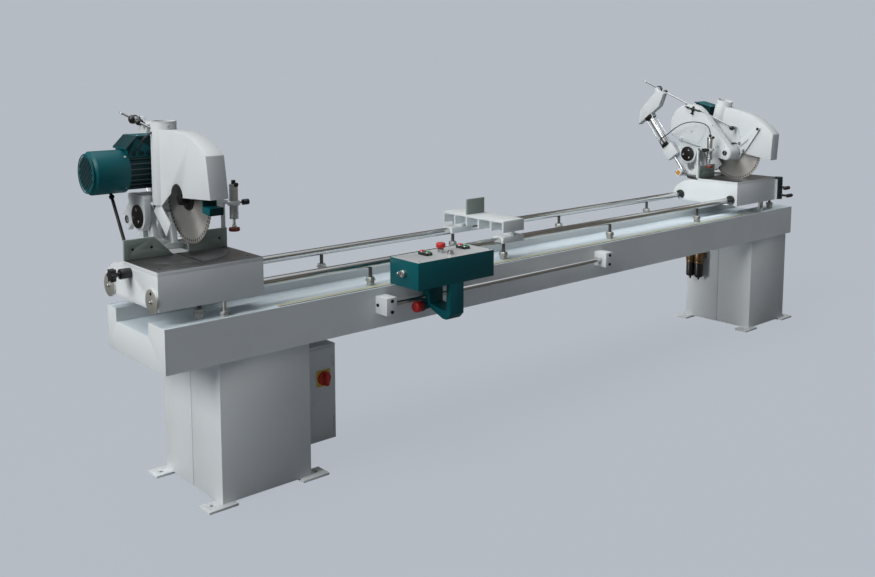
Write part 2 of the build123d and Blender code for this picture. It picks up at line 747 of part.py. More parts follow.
def guard_face():
    """Guard outline: round nose, straight front, keyhole at the spindle, and the leg behind the blade."""
    top = GUARD_TOP
    keyhole = [
        (SPINDLE[0] - KEYHOLE_R, SPINDLE[1] + 12),
        (SPINDLE[0], SPINDLE[1] + KEYHOLE_R * 1.35),
        (SPINDLE[0] + KEYHOLE_R * 1.1, SPINDLE[1] + 20),
    ]
    corner = (GUARD_NOSE, top - GUARD_ROLL)
    shoulder = (SPINDLE[0] + 8, top)
    mid = ((corner[0] + shoulder[0]) / 2 - 18, top - GUARD_ROLL * 0.31)
    lip = (GUARD_NOSE - GUARD_RAKE, SPINDLE[1] + 26)
    return make_face([
        Line((SPOUT_Y, top), shoulder),
        ThreePointArc(shoulder, mid, corner),
        Line(corner, lip),
        Line(lip, keyhole[0]),
        ThreePointArc(*keyhole),
        Line(keyhole[2], LEG_KNEE),
        Line(LEG_KNEE, LEG_FRONT),
        Line(LEG_FRONT, LEG_FOOT),
        Line(LEG_FOOT, LEG_REAR),
        Line(LEG_REAR, (SPOUT_Y, SPOUT_BOTTOM + 12)),
        Line((SPOUT_Y, SPOUT_BOTTOM + 12), (SPOUT_Y, top)),
    ])


def guard_shell():
    """Hollow blade guard, open below, with the round dust spout behind and the pin of the bell crank."""
    face = guard_face()
    inside = offset(face, -GUARD_WALL)
    opening = Pos(0, -4 * GUARD_WALL) * inside
    inner = (GUARD_OUT + GUARD_WALL, GUARD_IN - GUARD_WALL)
    spout_z = (SPOUT_BOTTOM, GUARD_TOP)
    flat_top = MOTOR[1] + FLANGE_RING_R * 0.75
    spout = rod_z(SPOUT_R, SPOUT_U, SPOUT_Y, spout_z)
    across = (SPOUT_Y - SPOUT_R, SPOUT_Y + SPOUT_R)
    spout -= block((GUARD_IN, SPOUT_U + SPOUT_R + 1), across, (SPOUT_BOTTOM - 1, flat_top))
    spout += rod_z(SPOUT_MOUTH_R, SPOUT_U, SPOUT_Y, (GUARD_TOP - GUARD_WALL, SPOUT_TOP))
    bore = rod_z(SPOUT_MOUTH_R - GUARD_WALL, SPOUT_U, SPOUT_Y, (SPOUT_BOTTOM + GUARD_WALL, SPOUT_TOP + 1))
    wall_top = flat_top + GUARD_WALL
    inner_u = (GUARD_IN - GUARD_WALL, SPOUT_U + SPOUT_R + 1)
    wall_cut = block(inner_u, across, (SPOUT_BOTTOM - 1, wall_top))
    guard = slab(face, (GUARD_OUT, GUARD_IN)) + spout
    guard -= slab(inside, inner) + slab(opening, inner)
    guard -= bore - wall_cut
    guard -= slab(disc(BLADE_R + 2 * GUARD_WALL, SPINDLE), inner)
    low_pin = turned_point(SWING_PIN, SPINDLE, SWING_TURN)
    guard -= slab(hull(disc(SLOT_R, SWING_PIN), disc(SLOT_R, low_pin)), (inner[1] - 1, GUARD_IN + 1))
    guard += slab(disc(LINKAGE_PIN_R, LEVER_PIN), (inner[1], LEVER_U[1] + RUN_GAP))
    return guard


def turned_point(point, centre, angle):
    """Place of a point after a turn about a centre."""
    radius = hypot(point[0] - centre[0], point[1] - centre[1])
    start = degrees(atan2(point[1] - centre[1], point[0] - centre[0]))
    return polar(centre, radius, start + angle)


def swing_guard():
    """Swinging guard: hub ring on the spindle nose, side plate, rim and the teal front lip."""
    rim_r = (SWING_RIM_R, SWING_RIM_R + GUARD_WALL)
    rim_u = (GUARD_OUT + 2 * GUARD_WALL, SWING_U[1])
    plate = sector(SPINDLE, (NOSE_R + 2, rim_r[1]), SWING_ARC)
    plate += disc(NOSE_R + SWING_HUB, SPINDLE)
    plate += disc(LINKAGE_PIN_R * 2, SWING_PIN)
    plate -= disc(NOSE_R + RUN_CLEAR, SPINDLE)
    guard = slab(plate, SWING_U)
    guard += slab(sector(SPINDLE, rim_r, SWING_ARC), rim_u)
    lip_arc = (SWING_ARC[1] - 7, SWING_ARC[1])
    guard += slab(sector(SPINDLE, (rim_r[0], rim_r[1] + SWING_LIP), lip_arc), rim_u)
    guard += slab(disc(LINKAGE_PIN_R, SWING_PIN), (SWING_U[0], LINK_U[1] + RUN_GAP))
    return guard


def bell_crank():
    """Bell crank on the guard's inner side, with studs for the rod and the link."""
    arms = hull(disc(LEVER_HUB_R, LEVER_PIN), disc(LEVER_EYE_R, KNOB_PIN))
    arms += hull(disc(LEVER_HUB_R, LEVER_PIN), disc(LEVER_EYE_R, LINK_PIN))
    arms -= disc(LINKAGE_PIN_R + RUN_CLEAR, LEVER_PIN)
    crank = slab(arms, LEVER_U)
    crank += slab(disc(LINKAGE_PIN_R, LINK_PIN), (LEVER_U[0], LINK_U[1] + RUN_GAP))
    crank += slab(disc(LINKAGE_PIN_R, KNOB_PIN), (LEVER_U[0], ROD_U + EYE_THICK))
    return crank


def link_bar():
    """Flat link from the bell crank to the swinging guard."""
    bar = hull(disc(LEVER_EYE_R, LINK_PIN), disc(LEVER_EYE_R, SWING_PIN))
    bar -= disc(LINKAGE_PIN_R + RUN_CLEAR, LINK_PIN)
    bar -= disc(LINKAGE_PIN_R + OPEN_CLEAR, SWING_PIN)
    return slab(bar, LINK_U)


def rod_line(start, end, radius):
    """Round bar between two (y, z) points in the rod's plane."""
    length = hypot(end[0] - start[0], end[1] - start[1])
    angle = degrees(atan2(end[1] - start[1], end[0] - start[0]))
    return Pos(ROD_U, *start) * Rot(angle - 90, 0, 0) * Pos(0, 0, length / 2) * Cylinder(radius, length)


def guard_rod():
    """Long thin rod with an eye at the bell crank and a black clamp at the feed cylinder."""
    angle = degrees(atan2(ROD_ANCHOR[1] - KNOB_PIN[1], ROD_ANCHOR[0] - KNOB_PIN[0]))
    length = hypot(ROD_ANCHOR[0] - KNOB_PIN[0], ROD_ANCHOR[1] - KNOB_PIN[1])
    eye = disc(EYE_R, KNOB_PIN) - disc(LINKAGE_PIN_R + OPEN_CLEAR, KNOB_PIN)
    half = EYE_THICK / 2
    rod = rod_line(polar(KNOB_PIN, EYE_R - 2, angle), polar(KNOB_PIN, length + ROD_TAIL, angle), ROD_R)
    rod += slab(eye, (ROD_U - half, ROD_U + half))
    hub = slab(disc(CLAMP_HUB_R, ROD_ANCHOR), (ROD_U - half, stud_end()))
    hub -= slab(disc(LINKAGE_PIN_R + RUN_CLEAR, ROD_ANCHOR), (stud_start() - RUN_GAP / 2, stud_end() + 1))
    return rod + hub


def stud_start():
    """Inner end of the stud that carries the rod's clamp."""
    return ROD_U + EYE_THICK / 2 + RUN_GAP


def stud_end():
    """Face of the feed cylinder's cover, less a running gap."""
    return FEED_U - COVER_WIDTH / 2 - RUN_GAP / 4


def feed_frame(shape):
    """Carry a piece drawn along Z at the origin to the feed cylinder's raised axis."""
    angle = degrees(atan2(TRUNNION[1] - FEED_FOOT[1], TRUNNION[0] - FEED_FOOT[0]))
    return Pos(FEED_U, *TRUNNION) * Rot(angle - 90, 0, 0) * shape


def feed_point(across, along):
    """Raised place of a point given across and along the feed cylinder."""
    angle = atan2(TRUNNION[1] - FEED_FOOT[1], TRUNNION[0] - FEED_FOOT[0])
    y = TRUNNION[0] + across * sin(angle) + along * cos(angle)
    return (y, TRUNNION[1] - across * cos(angle) + along * sin(angle))


def feed_cylinder():
    """Trunnion block, end caps with tie rods, barrel, and the slanted cover with the rod's stud."""
    half = FEED_BLOCK / 2
    cap_low = (BARREL_START - CAP_LENGTH, BARREL_START)
    cap_high = (BARREL_END, BARREL_END + CAP_LENGTH)
    wide = (-FEED_WIDTH / 2, FEED_WIDTH / 2)
    body = block(wide, (-half, half), (-half * 0.7, cap_low[0]))
    body -= rod_z(FEED_ROD_R + RUN_CLEAR, 0, 0, (-half, cap_low[0] - 1))
    body = feed_frame(body)
    body -= slab(disc(TRUNNION_R + RUN_CLEAR, TRUNNION), (0, FEED_U - FEED_ROD_R - 1))
    cap_half = (-BARREL_R - TIE_R, BARREL_R + TIE_R)
    cap_wide = (-CAP_HALF_U, CAP_HALF_U)
    caps = [feed_frame(block(cap_wide, cap_half, span)) for span in (cap_low, cap_high)]
    barrel = feed_frame(rod_z(BARREL_R * 0.8, 0, 0, (cap_low[1], cap_high[0])))
    corners = [(x, y) for x in (-1, 1) for y in (-1, 1)]
    ties = []
    for x, y in corners:
        place_x = x * (CAP_HALF_U - TIE_R)
        ties.append(feed_frame(rod_z(TIE_R, place_x, y * BARREL_R, (cap_low[1], cap_high[0]))))
    base = cap_high[1]
    cover_face = make_face([
        Line((COVER_BACK, base), (-COVER_FRONT, base)),
        Line((-COVER_FRONT, base), (-COVER_FRONT * 1.7, base + COVER_RISE * 0.5)),
        ThreePointArc(
            (-COVER_FRONT * 1.7, base + COVER_RISE * 0.5),
            (-COVER_FRONT * 1.55, base + COVER_RISE * 0.85),
            (-COVER_FRONT * 1.2, base + COVER_RISE),
        ),
        Line((-COVER_FRONT * 1.2, base + COVER_RISE), (COVER_BACK * 0.3, base + COVER_RISE * 0.75)),
        Line((COVER_BACK * 0.3, base + COVER_RISE * 0.75), (COVER_BACK, base)),
    ])
    cover = feed_frame(extrude(Plane.YZ.offset(-COVER_WIDTH / 2) * cover_face, COVER_WIDTH))
    ear_root = feed_point(-COVER_FRONT * 1.3, base + COVER_RISE * 0.8)
    ear = hull(disc(CLAMP_HUB_R, ROD_ANCHOR), disc(CLAMP_HUB_R, ear_root))
    cover += slab(ear, (FEED_U - COVER_WIDTH / 2, FEED_U))
    cover += slab(disc(LINKAGE_PIN_R, ROD_ANCHOR), (stud_start(), FEED_U))
    return [body, *caps, barrel, *ties, cover]


def feed_rod():
    """Piston rod with the eye that sits on the yoke's pin."""
    reach = hypot(TRUNNION[0] - FEED_FOOT[0], TRUNNION[1] - FEED_FOOT[1])
    rod = feed_frame(rod_z(FEED_ROD_R, 0, 0, (-reach + FEED_PIN_R + 1, FEED_BLOCK * 0.45)))
    half = FEED_EYE_THICK / 2
    eye = slab(disc(FEED_EYE_R, FEED_FOOT), (FEED_U - half, FEED_U + half))
    hole = slab(disc(FEED_PIN_R + OPEN_CLEAR, FEED_FOOT), (FEED_U - half - 1, FEED_U + half + 1))
    return rod + eye - hole


def bed_pieces():
    """Bed of three welded hollow sections with a trough between, two end plates and the scale in front."""
    half = BED_DEPTH / 2
    low = BED_TOP - BED_HEIGHT
    floor = BED_TOP - TROUGH_DEPTH
    trough = (-half + CHORD_FRONT, half - CHORD_REAR)
    face = outline(
        (-half, low), (-half, BED_TOP), (trough[0], BED_TOP), (trough[0], floor),
        (trough[1], floor), (trough[1], BED_TOP), (half, BED_TOP), (half, low),
    )
    ends = (BED_CENTRE - BED_LENGTH / 2, BED_CENTRE + BED_LENGTH / 2)
    tubes = []
    for deep, top in (((-half, trough[0]), BED_TOP), (trough, floor), ((trough[1], half), BED_TOP)):
        section = outline((deep[0], low), (deep[0], top), (deep[1], top), (deep[1], low))
        tubes.append(slab(section - offset(section, -BED_WALL), (ends[0] + BED_WALL, ends[1] - BED_WALL)))
    plates = [slab(face, (ends[0], ends[0] + BED_WALL)), slab(face, (ends[1] - BED_WALL, ends[1]))]
    scale_y = (-half + SCALE_EDGE, -half + SCALE_EDGE + SCALE_WIDTH)
    scale = block(SCALE_ENDS, scale_y, (BED_TOP, BED_TOP + SCALE_THICK))
    return [*tubes, *plates, scale]


def pedestal(x):
    """One leg: two folded half shells with a seam between, on four foot plates."""
    span = (FOOT_THICK, BED_TOP - BED_HEIGHT)
    wide = (x - LEG_WIDTH / 2, x + LEG_WIDTH / 2)
    deep = LEG_DEPTH / 2
    inner = (wide[0] + LEG_WALL, wide[1] - LEG_WALL)
    pieces = []
    for side in (-1, 1):
        seam = side * LEG_SEAM / 2
        face = side * deep
        lip = seam + side * LEG_LIP
        outer = block(wide, sorted((seam, face)), span)
        outer -= block(inner, sorted((lip, face - side * LEG_WALL)), (span[0] - 1, span[1] + 1))
        mouth = (inner[0] + LEG_LIP, inner[1] - LEG_LIP)
        outer -= block(mouth, sorted((seam - side, lip + side)), (span[0] - 1, span[1] + 1))
        pieces.append(outer)
    for side_x in (-1, 1):
        for side_y in (-1, 1):
            start = x + side_x * (LEG_WIDTH / 2 - FOOT_OVERLAP)
            edge = side_y * (deep - FOOT_OVERLAP)
            plate_x = sorted((start, start + side_x * FOOT_LENGTH))
            plate_y = sorted((edge, edge + side_y * FOOT_WIDTH))
            foot = block(plate_x, plate_y, (0, FOOT_THICK))
            hole_x = x + side_x * (LEG_WIDTH / 2 + FOOT_HOLE_OUT)
            foot -= rod_z(FOOT_HOLE_R, hole_x, side_y * FOOT_HOLE_Y, (-1, FOOT_THICK + 1))
            pieces.append(foot)
    return pieces


def rail_pieces():
    """Two guide rails with end caps, and the studs with nuts that carry them on the bed."""
    left = LEFT_HEAD - TABLE_HALF
    pieces = []
    for y in (-RAIL_Y, RAIL_Y):
        rail = rod_x(RAIL_R, (left, RAIL_RIGHT), y, RAIL_Z)
        for post in range(POST_COUNT):
            x = POST_FIRST + post * POST_PITCH
            stud = rod_z(POST_R, x, y, (BED_TOP, RAIL_Z)) - rail
            nut = Pos(x, y, BED_TOP) * RegularPolygon(POST_NUT_R, 6)
            pieces.append(stud + extrude(nut, POST_NUT_HEIGHT))
        pieces.append(rail + rod_x(RAIL_CAP_R, (left - RAIL_CAP_THICK, left), y, RAIL_Z))
    return pieces


def cabinet_pieces():
    """Electrical cabinet on the left leg, with its door and the plate of the main switch."""
    left = -LEG_SPAN / 2 + LEG_WIDTH / 2
    span_x = (left, left + CABINET_DEPTH)
    span_z = (CABINET_BOTTOM, CABINET_TOP)
    body = block(span_x, (CABINET_FRONT, CABINET_FRONT + CABINET_WIDTH), span_z)
    inset = DOOR_INSET
    door_x = (span_x[0] + inset, span_x[1] - inset)
    door = block(door_x, (CABINET_FRONT - DOOR_THICK, CABINET_FRONT), (span_z[0] + inset, span_z[1] - inset))
    face = CABINET_FRONT - DOOR_THICK
    side = SWITCH_R * 1.15
    plate_x = (SWITCH_X - side, SWITCH_X + side)
    plate = block(plate_x, (face - DOOR_THICK, face), (SWITCH_Z - side, SWITCH_Z + side))
    through = (face - 2 * DOOR_THICK, face + DOOR_THICK / 2)
    hole = rod_y(SWITCH_STEM_R + RUN_CLEAR, SWITCH_X, through, SWITCH_Z)
    return [body, door - hole, plate - hole]


def switch_knob():
    """Red rotary handle of the main switch."""
    face = CABINET_FRONT - 2 * DOOR_THICK - SEAT_GAP
    knob = rod_y(SWITCH_R, SWITCH_X, (face - SWITCH_BASE, face), SWITCH_Z)
    grip_x = (SWITCH_X - SWITCH_R * 0.25, SWITCH_X + SWITCH_R * 0.25)
    grip_z = (SWITCH_Z - SWITCH_R * 0.9, SWITCH_Z + SWITCH_R * 0.9)
    knob += block(grip_x, (face - 3 * SWITCH_BASE, face - SWITCH_BASE), grip_z)
    return knob + rod_y(SWITCH_STEM_R, SWITCH_X, (face, face + DOOR_THICK), SWITCH_Z)


def filter_pieces():
    """Air filter and oiler on the right leg: bracket, two heads, two bowls and the gauge."""
    wall = LEG_SPAN / 2 - LEG_WIDTH / 2
    x = wall - FILTER_R - FILTER_BRACKET
    head_z = (FILTER_TOP - FILTER_HEAD, FILTER_TOP)
    ys = (FILTER_Y, FILTER_Y + FILTER_PITCH)
    middle = (head_z[0] + head_z[1]) / 2
    body_y = (ys[0] - FILTER_R, ys[1] + FILTER_R)
    body = block((x, wall), body_y, (middle - FILTER_R / 2, middle + FILTER_R / 2))
    bowls = []
    for y in ys:
        body += rod_z(FILTER_R, x, y, head_z)
        bowl = rod_z(FILTER_R * 0.9, x, y, (head_z[0] - FILTER_BOWL, head_z[0]))
        bowl = fillet(bowl.edges().group_by(Axis.Z)[0], FILTER_R * 0.45)
        drain_z = (head_z[0] - FILTER_BOWL - FILTER_R / 2, head_z[0] - FILTER_R)
        bowls.append(bowl + rod_z(FILTER_R * 0.22, x, y, drain_z))
    gauge_y = ys[1] + FILTER_R
    body += rod_y(FILTER_R * 0.25, x, (gauge_y - 2, gauge_y + FILTER_R / 2), middle)
    gauge = rod_x(FILTER_R * 0.7, (x - FILTER_R / 2, x + FILTER_R / 2), gauge_y + FILTER_R * 1.2, middle)
    gauge -= rod_y(FILTER_R * 0.25, x, (gauge_y - 2, gauge_y + FILTER_R / 2), middle)
    return [body, *bowls, gauge]


def control_rail_pieces():
    """Round rail in front of the bed with a square bracket at each end."""
    y = CONTROL_RAIL_Y
    ends = CONTROL_RAIL_ENDS
    rail = rod_x(CONTROL_RAIL_R, ends, y, CONTROL_RAIL_Z)
    half = BRACKET_SIZE / 2
    brackets = []
    for start in (ends[0], ends[1] - BRACKET_LENGTH):
        span = (start, start + BRACKET_LENGTH)
        foot = block(span, (y - half, -BED_DEPTH / 2), (CONTROL_RAIL_Z - half, CONTROL_RAIL_Z + half))
        brackets.append(foot - rod_x(CONTROL_RAIL_R, (span[0] - 1, span[1] + 1), y, CONTROL_RAIL_Z))
    return [rail, *brackets]


def control_pieces():
    """Control box: teal tray, light panel, button bases, key lock and the hook that rides on its rail."""
    wide = (CONTROL_LEFT, CONTROL_RIGHT)
    deep = (CONTROL_FRONT, CONTROL_REAR)
    tray = block(wide, deep, (CONTROL_BOTTOM, CONTROL_TOP))
    inner_x = (wide[0] + CONTROL_WALL, wide[1] - CONTROL_WALL)
    inner_y = (deep[0] + CONTROL_WALL, deep[1] - CONTROL_WALL)
    tray -= block(inner_x, inner_y, (CONTROL_BOTTOM + CONTROL_WALL, CONTROL_TOP + 1))
    panel_z = (CONTROL_TOP - CONTROL_WALL, CONTROL_TOP)
    panel = block(inner_x, inner_y, panel_z)
    bases = []
    for x in BLOCK_X:
        base = block(
            (x - BUTTON_R * 1.5, x + BUTTON_R * 1.5),
            (BLOCK_Y - BUTTON_PITCH - BUTTON_R, BLOCK_Y + BUTTON_PITCH + BUTTON_R),
            (CONTROL_TOP, CONTROL_TOP + BLOCK_HEIGHT),
        )
        bases.append(base)
    holes = []
    for x, y, r in button_places():
        holes.append(rod_z(r + SEAT_GAP, x, y, (CONTROL_TOP - BUTTON_DEPTH, CONTROL_TOP + BLOCK_HEIGHT + 1)))
    for hole in holes:
        panel -= hole
        bases = [base - hole for base in bases]
    collar = rod_z(STOP_R * 0.7, STOP_X, STOP_Y, (CONTROL_TOP, CONTROL_TOP + STOP_STEM))
    collar -= rod_z(STEM_R + SEAT_GAP, STOP_X, STOP_Y, (CONTROL_TOP - 1, CONTROL_TOP + STOP_STEM + 1))
    collar_feed = rod_z(FEED_BUTTON_R * 1.3, STOP_X, FEED_BUTTON_Y, (CONTROL_TOP, CONTROL_TOP + BLOCK_HEIGHT))
    feed_bore = (CONTROL_TOP - 1, CONTROL_TOP + STOP_STEM)
    collar_feed -= rod_z(FEED_BUTTON_R + SEAT_GAP, STOP_X, FEED_BUTTON_Y, feed_bore)
    lock_z = (CONTROL_BOTTOM + CONTROL_TOP) / 2
    lock_y = (deep[0] + deep[1]) / 2
    lock = rod_x(BUTTON_R, (wide[0] - BUTTON_R, wide[0]), lock_y, lock_z)
    rail = (CONTROL_RAIL_Y, CONTROL_RAIL_Z)
    strap = HOOK_STRAP
    rear = rail[0] + strap
    hook = outline(
        (deep[0], CONTROL_BOTTOM), (deep[0], HOOK_LOW + strap), (deep[0] + strap, HOOK_LOW),
        (deep[0] + 2 * strap, HOOK_LOW), (rear, rail[1] - strap), (rear, CONTROL_BOTTOM),
    )
    hook -= outline(
        (deep[0] + strap, CONTROL_BOTTOM), (deep[0] + strap, HOOK_LOW + 1.5 * strap),
        (rail[0] - strap, rail[1] - strap), (rail[0] - strap, CONTROL_BOTTOM),
    )
    hook -= disc(CONTROL_RAIL_R + RUN_CLEAR, rail)
    arm = slab(hook, HOOK_X)
    knob_z = rail[1] - strap * 2
    boss_y = (rail[0] - strap, rail[0] + strap / 2)
    arm += block((HOOK_X[0] - strap, HOOK_X[0] + 1), boss_y, (knob_z, rail[1] - strap))
    return [tray, panel, *bases, collar, collar_feed, lock, arm]


def button_places():
    """Centre and stem radius of every push button in the panel."""
    places = [(x, BLOCK_Y + side * BUTTON_PITCH, BUTTON_R) for x in BLOCK_X for side in (1, -1)]
    places.append((STOP_X, STOP_Y, STEM_R))
    places.append((STOP_X, FEED_BUTTON_Y, FEED_BUTTON_R))
    return places


def control_knob():
    """Red and black clamp knob of the control box."""
    z = CONTROL_RAIL_Z - HOOK_STRAP * 1.5
    y = CONTROL_RAIL_Y - HOOK_STRAP / 4
    face = HOOK_X[0] - HOOK_STRAP - SEAT_GAP
    knob = rod_x(KNOB_R, (face - KNOB_LENGTH, face), y, z)
    return fillet(knob.edges().group_by(Axis.X)[0], KNOB_R / 4)


def push_button(x, y, r):
    """Flat push button standing a little proud of its base."""
    return rod_z(r, x, y, (CONTROL_TOP - BUTTON_DEPTH / 2, CONTROL_TOP + BLOCK_HEIGHT + BUTTON_TRAVEL + 1))


def stop_button():
    """Red mushroom head of the emergency stop on its stem."""
    head_z = CONTROL_TOP + STOP_STEM + BUTTON_TRAVEL + 1
    head = rod_z(STOP_R, STOP_X, STOP_Y, (head_z, head_z + STOP_HEAD))
    head = fillet(head.edges().group_by(Axis.Z)[-1], STOP_HEAD / 3)
    return head + rod_z(STEM_R, STOP_X, STOP_Y, (CONTROL_TOP - BUTTON_DEPTH / 2, head_z))


def middle_support():
    """Ribbed casting that bridges both rails, with forked feet, and the stop plate on top."""
    front = -RAIL_Y - SUPPORT_FOOT
    rear = RAIL_Y + SUPPORT_FOOT
    top = SUPPORT_TOP
    flange = SUPPORT_FLANGE
    low = RAIL_Z - flange
    belly = top - SUPPORT_DEPTH
    ends = (-RAIL_Y + SUPPORT_FOOT, RAIL_Y - SUPPORT_FOOT)
    web = make_face([
        Line((front, low), (front, top)),
        Line((front, top), (rear, top)),
        Line((rear, top), (rear, low)),
        Line((rear, low), (ends[1], low)),
        ThreePointArc((ends[1], low), (ends[1] - flange, belly - flange), (ends[1] - 3 * flange, belly)),
        Line((ends[1] - 3 * flange, belly), (ends[0] + 3 * flange, belly)),
        ThreePointArc((ends[0] + 3 * flange, belly), (ends[0] + flange, belly - flange), (ends[0], low)),
        Line((ends[0], low), (front, low)),
    ])
    half = SUPPORT_HALF
    casting = slab(web, (-SUPPORT_WEB / 2, SUPPORT_WEB / 2))
    casting += block((-half, half), (front, rear), (top - flange, top))
    for y in (-RAIL_Y, RAIL_Y):
        casting += block((-half, half), (y - SUPPORT_FOOT, y + SUPPORT_FOOT), (low, RAIL_Z + 2 * flange))
    pitch = (rear - front) / (SUPPORT_RIBS + 1)
    for rib in range(SUPPORT_RIBS + 2):
        y = min(max(front + rib * pitch, front + flange / 2), rear - flange / 2)
        casting += block((-half, half), (y - flange / 2, y + flange / 2), (belly, top - 1))
    for y in (-RAIL_Y, RAIL_Y):
        slot = (y - RAIL_R - RUN_CLEAR, y + RAIL_R + RUN_CLEAR)
        casting -= rod_x(RAIL_R + RUN_CLEAR, (-half - 1, half + 1), y, RAIL_Z)
        casting -= block((-half - 1, half + 1), slot, (low - 1, RAIL_Z))
    plate_x = (-STOP_PLATE / 2, STOP_PLATE / 2)
    plate = block(plate_x, (TURN_Y, TURN_Y + FENCE_THICK), (top, top + STOP_PLATE * 0.65))
    return [Pos(SUPPORT_X, 0, 0) * casting, Pos(SUPPORT_X, 0, 0) * plate]


def left_lock():
    """Black plunger with a lobed knob and a ball-ended lever, which locks the left turntable."""
    face = -TABLE_HALF - SEAT_GAP
    far = face - LOCK_PLUNGER
    knob = rod_x(LOCK_R, (far, face), LOCK_Y, LOCK_Z)
    knob += rod_x(LOCK_PIN_R, (face, -TABLE_HALF + TABLE_WALL), LOCK_Y, LOCK_Z)
    knob += rod_x(LOCK_PIN_R, (far - LOCK_R, far), LOCK_Y, LOCK_Z)
    star = disc(LOCK_R, (LOCK_Y, LOCK_Z))
    for lobe in range(LOCK_LOBES):
        star += disc(LOCK_R / 3, polar((LOCK_Y, LOCK_Z), LOCK_R, lobe * 360 / LOCK_LOBES))
    knob += slab(star, (far - 2 * LOCK_R, far - LOCK_R))
    arm_u = far - LOCK_R / 2
    knob += rod_y(LOCK_PIN_R / 2, arm_u, (LOCK_Y, LOCK_Y + 1.6 * LOCK_R), LOCK_Z)
    return knob + Pos(arm_u, LOCK_Y + 1.8 * LOCK_R, LOCK_Z) * Sphere(LOCK_R * 0.6)


def lock_levels():
    """Heights of the two lever hubs of the right lock and of the ends of its column."""
    low = RAIL_Z - LOCK_COLUMN / 4.5
    return low, low + LOCK_COLUMN


def right_lock_column():
    """Green column on the outer face of the sliding table, split where the levers turn."""
    low, high = lock_levels()
    column = rod_z(LOCK_COLUMN_R, LOCK_U, LOCK_LEVER_Y, (low, high))
    web_y = (LOCK_LEVER_Y - LOCK_COLUMN_R / 2, LOCK_LEVER_Y + LOCK_COLUMN_R / 2)
    column += block((LOCK_U, -TABLE_HALF), web_y, (low, DECK_Z))
    for hub in lever_hubs():
        gap = (hub - LEVER_THICK / 2 - SEAT_GAP, hub + LEVER_THICK / 2 + SEAT_GAP)
        column -= rod_z(LOCK_COLUMN_R + 2, LOCK_U, LOCK_LEVER_Y, gap)
    return column - rod_z(LOCK_PIN_R + RUN_CLEAR, LOCK_U, LOCK_LEVER_Y, (low + SEAT_GAP, high - LEVER_THICK))


def lever_hubs():
    """Heights of the two levers of the right lock."""
    low, high = lock_levels()
    return (low + LOCK_COLUMN * 0.18, low + LOCK_COLUMN * 0.55)


def right_lock():
    """Two black levers on one shaft, which lock the right turntable."""
    low, high = lock_levels()
    lever = rod_z(LOCK_PIN_R, LOCK_U, LOCK_LEVER_Y, (low + 2 * SEAT_GAP, high - LEVER_THICK - SEAT_GAP))
    for hub in lever_hubs():
        span = (hub - LEVER_THICK / 2, hub + LEVER_THICK / 2)
        lever += rod_z(LOCK_COLUMN_R * 0.9, LOCK_U, LOCK_LEVER_Y, span)
        arm_y = (LOCK_LEVER_Y - LOCK_REACH, LOCK_LEVER_Y)
        lever += rod_y(LEVER_THICK * 0.45, LOCK_U, arm_y, hub)
        lever += Pos(LOCK_U, LOCK_LEVER_Y - LOCK_REACH, hub) * Sphere(LEVER_THICK * 0.6)
    return lever


def cord(points, radius):
    """Round cord along straight runs joined by tangent arcs, each as large as its runs allow."""
    corners = [Vector(*point) for point in points]
    path = []
    start = corners[0]
    for before, corner, after in zip(corners, corners[1:], corners[2:]):
        back = (before - corner).normalized()
        ahead = (after - corner).normalized()
        cut = 0.45 * min((before - corner).length, (after - corner).length)
        enter = corner + back * cut
        leave = corner + ahead * cut
        half_turn = (180 - back.get_angle(ahead)) / 2
        bend = cut / tan(radians(half_turn))
        inward = (back + ahead).normalized()
        middle = corner + inward * (bend / cos(radians(half_turn)) - bend)
        path += [Line(start, enter), ThreePointArc(enter, middle, leave)]
        print("cord bend radius", round(bend, 1))
        start = leave
    path.append(Line(start, corners[-1]))
    wire = Wire(path)
    section = Plane(origin=corners[0], z_dir=corners[1] - corners[0]) * Circle(radius)
    tube = sweep(section, path=wire)
    print("cord volume over section times length", round(tube.volume / (section.area * wire.length), 4))
    return tube


def motor_cable():
    """Cable from the front of the terminal box up to the dust spout."""
    box_front = MOTOR[0] - TERMINAL_WIDTH / 2
    start_u = COWL_LEFT + COWL_LENGTH + TERMINAL_SLOPE
    spout_side = SPOUT_U - SPOUT_R
    high = GUARD_TOP - CABLE_DROP
    return cord([
        (start_u, box_front, MOTOR[1] + COWL_R),
        (start_u, box_front - 23, MOTOR[1] + COWL_R + 3),
        (start_u, box_front - 49, MOTOR[1] + COWL_R + 33),
        (start_u + 4, SPOUT_Y + 12, high - 20),
        (spout_side, SPOUT_Y, high),
    ], CABLE_R)


def clamp_hose():
    """Air hose from the top of the right clamp over to the side of the feed cylinder's lower cap."""
    cap_place = turned_point(feed_point(HOSE_ACROSS, BARREL_START - CAP_LENGTH / 2), TRUNNION, FEED_TURN)
    end_y, end_z = turned_point(cap_place, PIVOT, LIFT)
    end_u = FEED_U + CAP_HALF_U + SEAT_GAP
    top = CLAMP_TOP + CLAMP_RING
    route = [(CLAMP_U, CLAMP_Y, top)]
    for along, up in HOSE_ARCH:
        route.append((CLAMP_U - HOSE_LEAN * along, CLAMP_Y + HOSE_RUN * along, top + HOSE_RISE * up))
    route += [
        (end_u + HOSE_SWING, end_y - HOSE_SWING / 4, end_z + HOSE_DROP),
        (end_u + HOSE_SWING, end_y - HOSE_SWING / 8, end_z + HOSE_DROP / 2),
        (end_u + HOSE_SWING / 2, end_y, end_z),
        (end_u, end_y, end_z),
    ]
    return cord(route, HOSE_R)


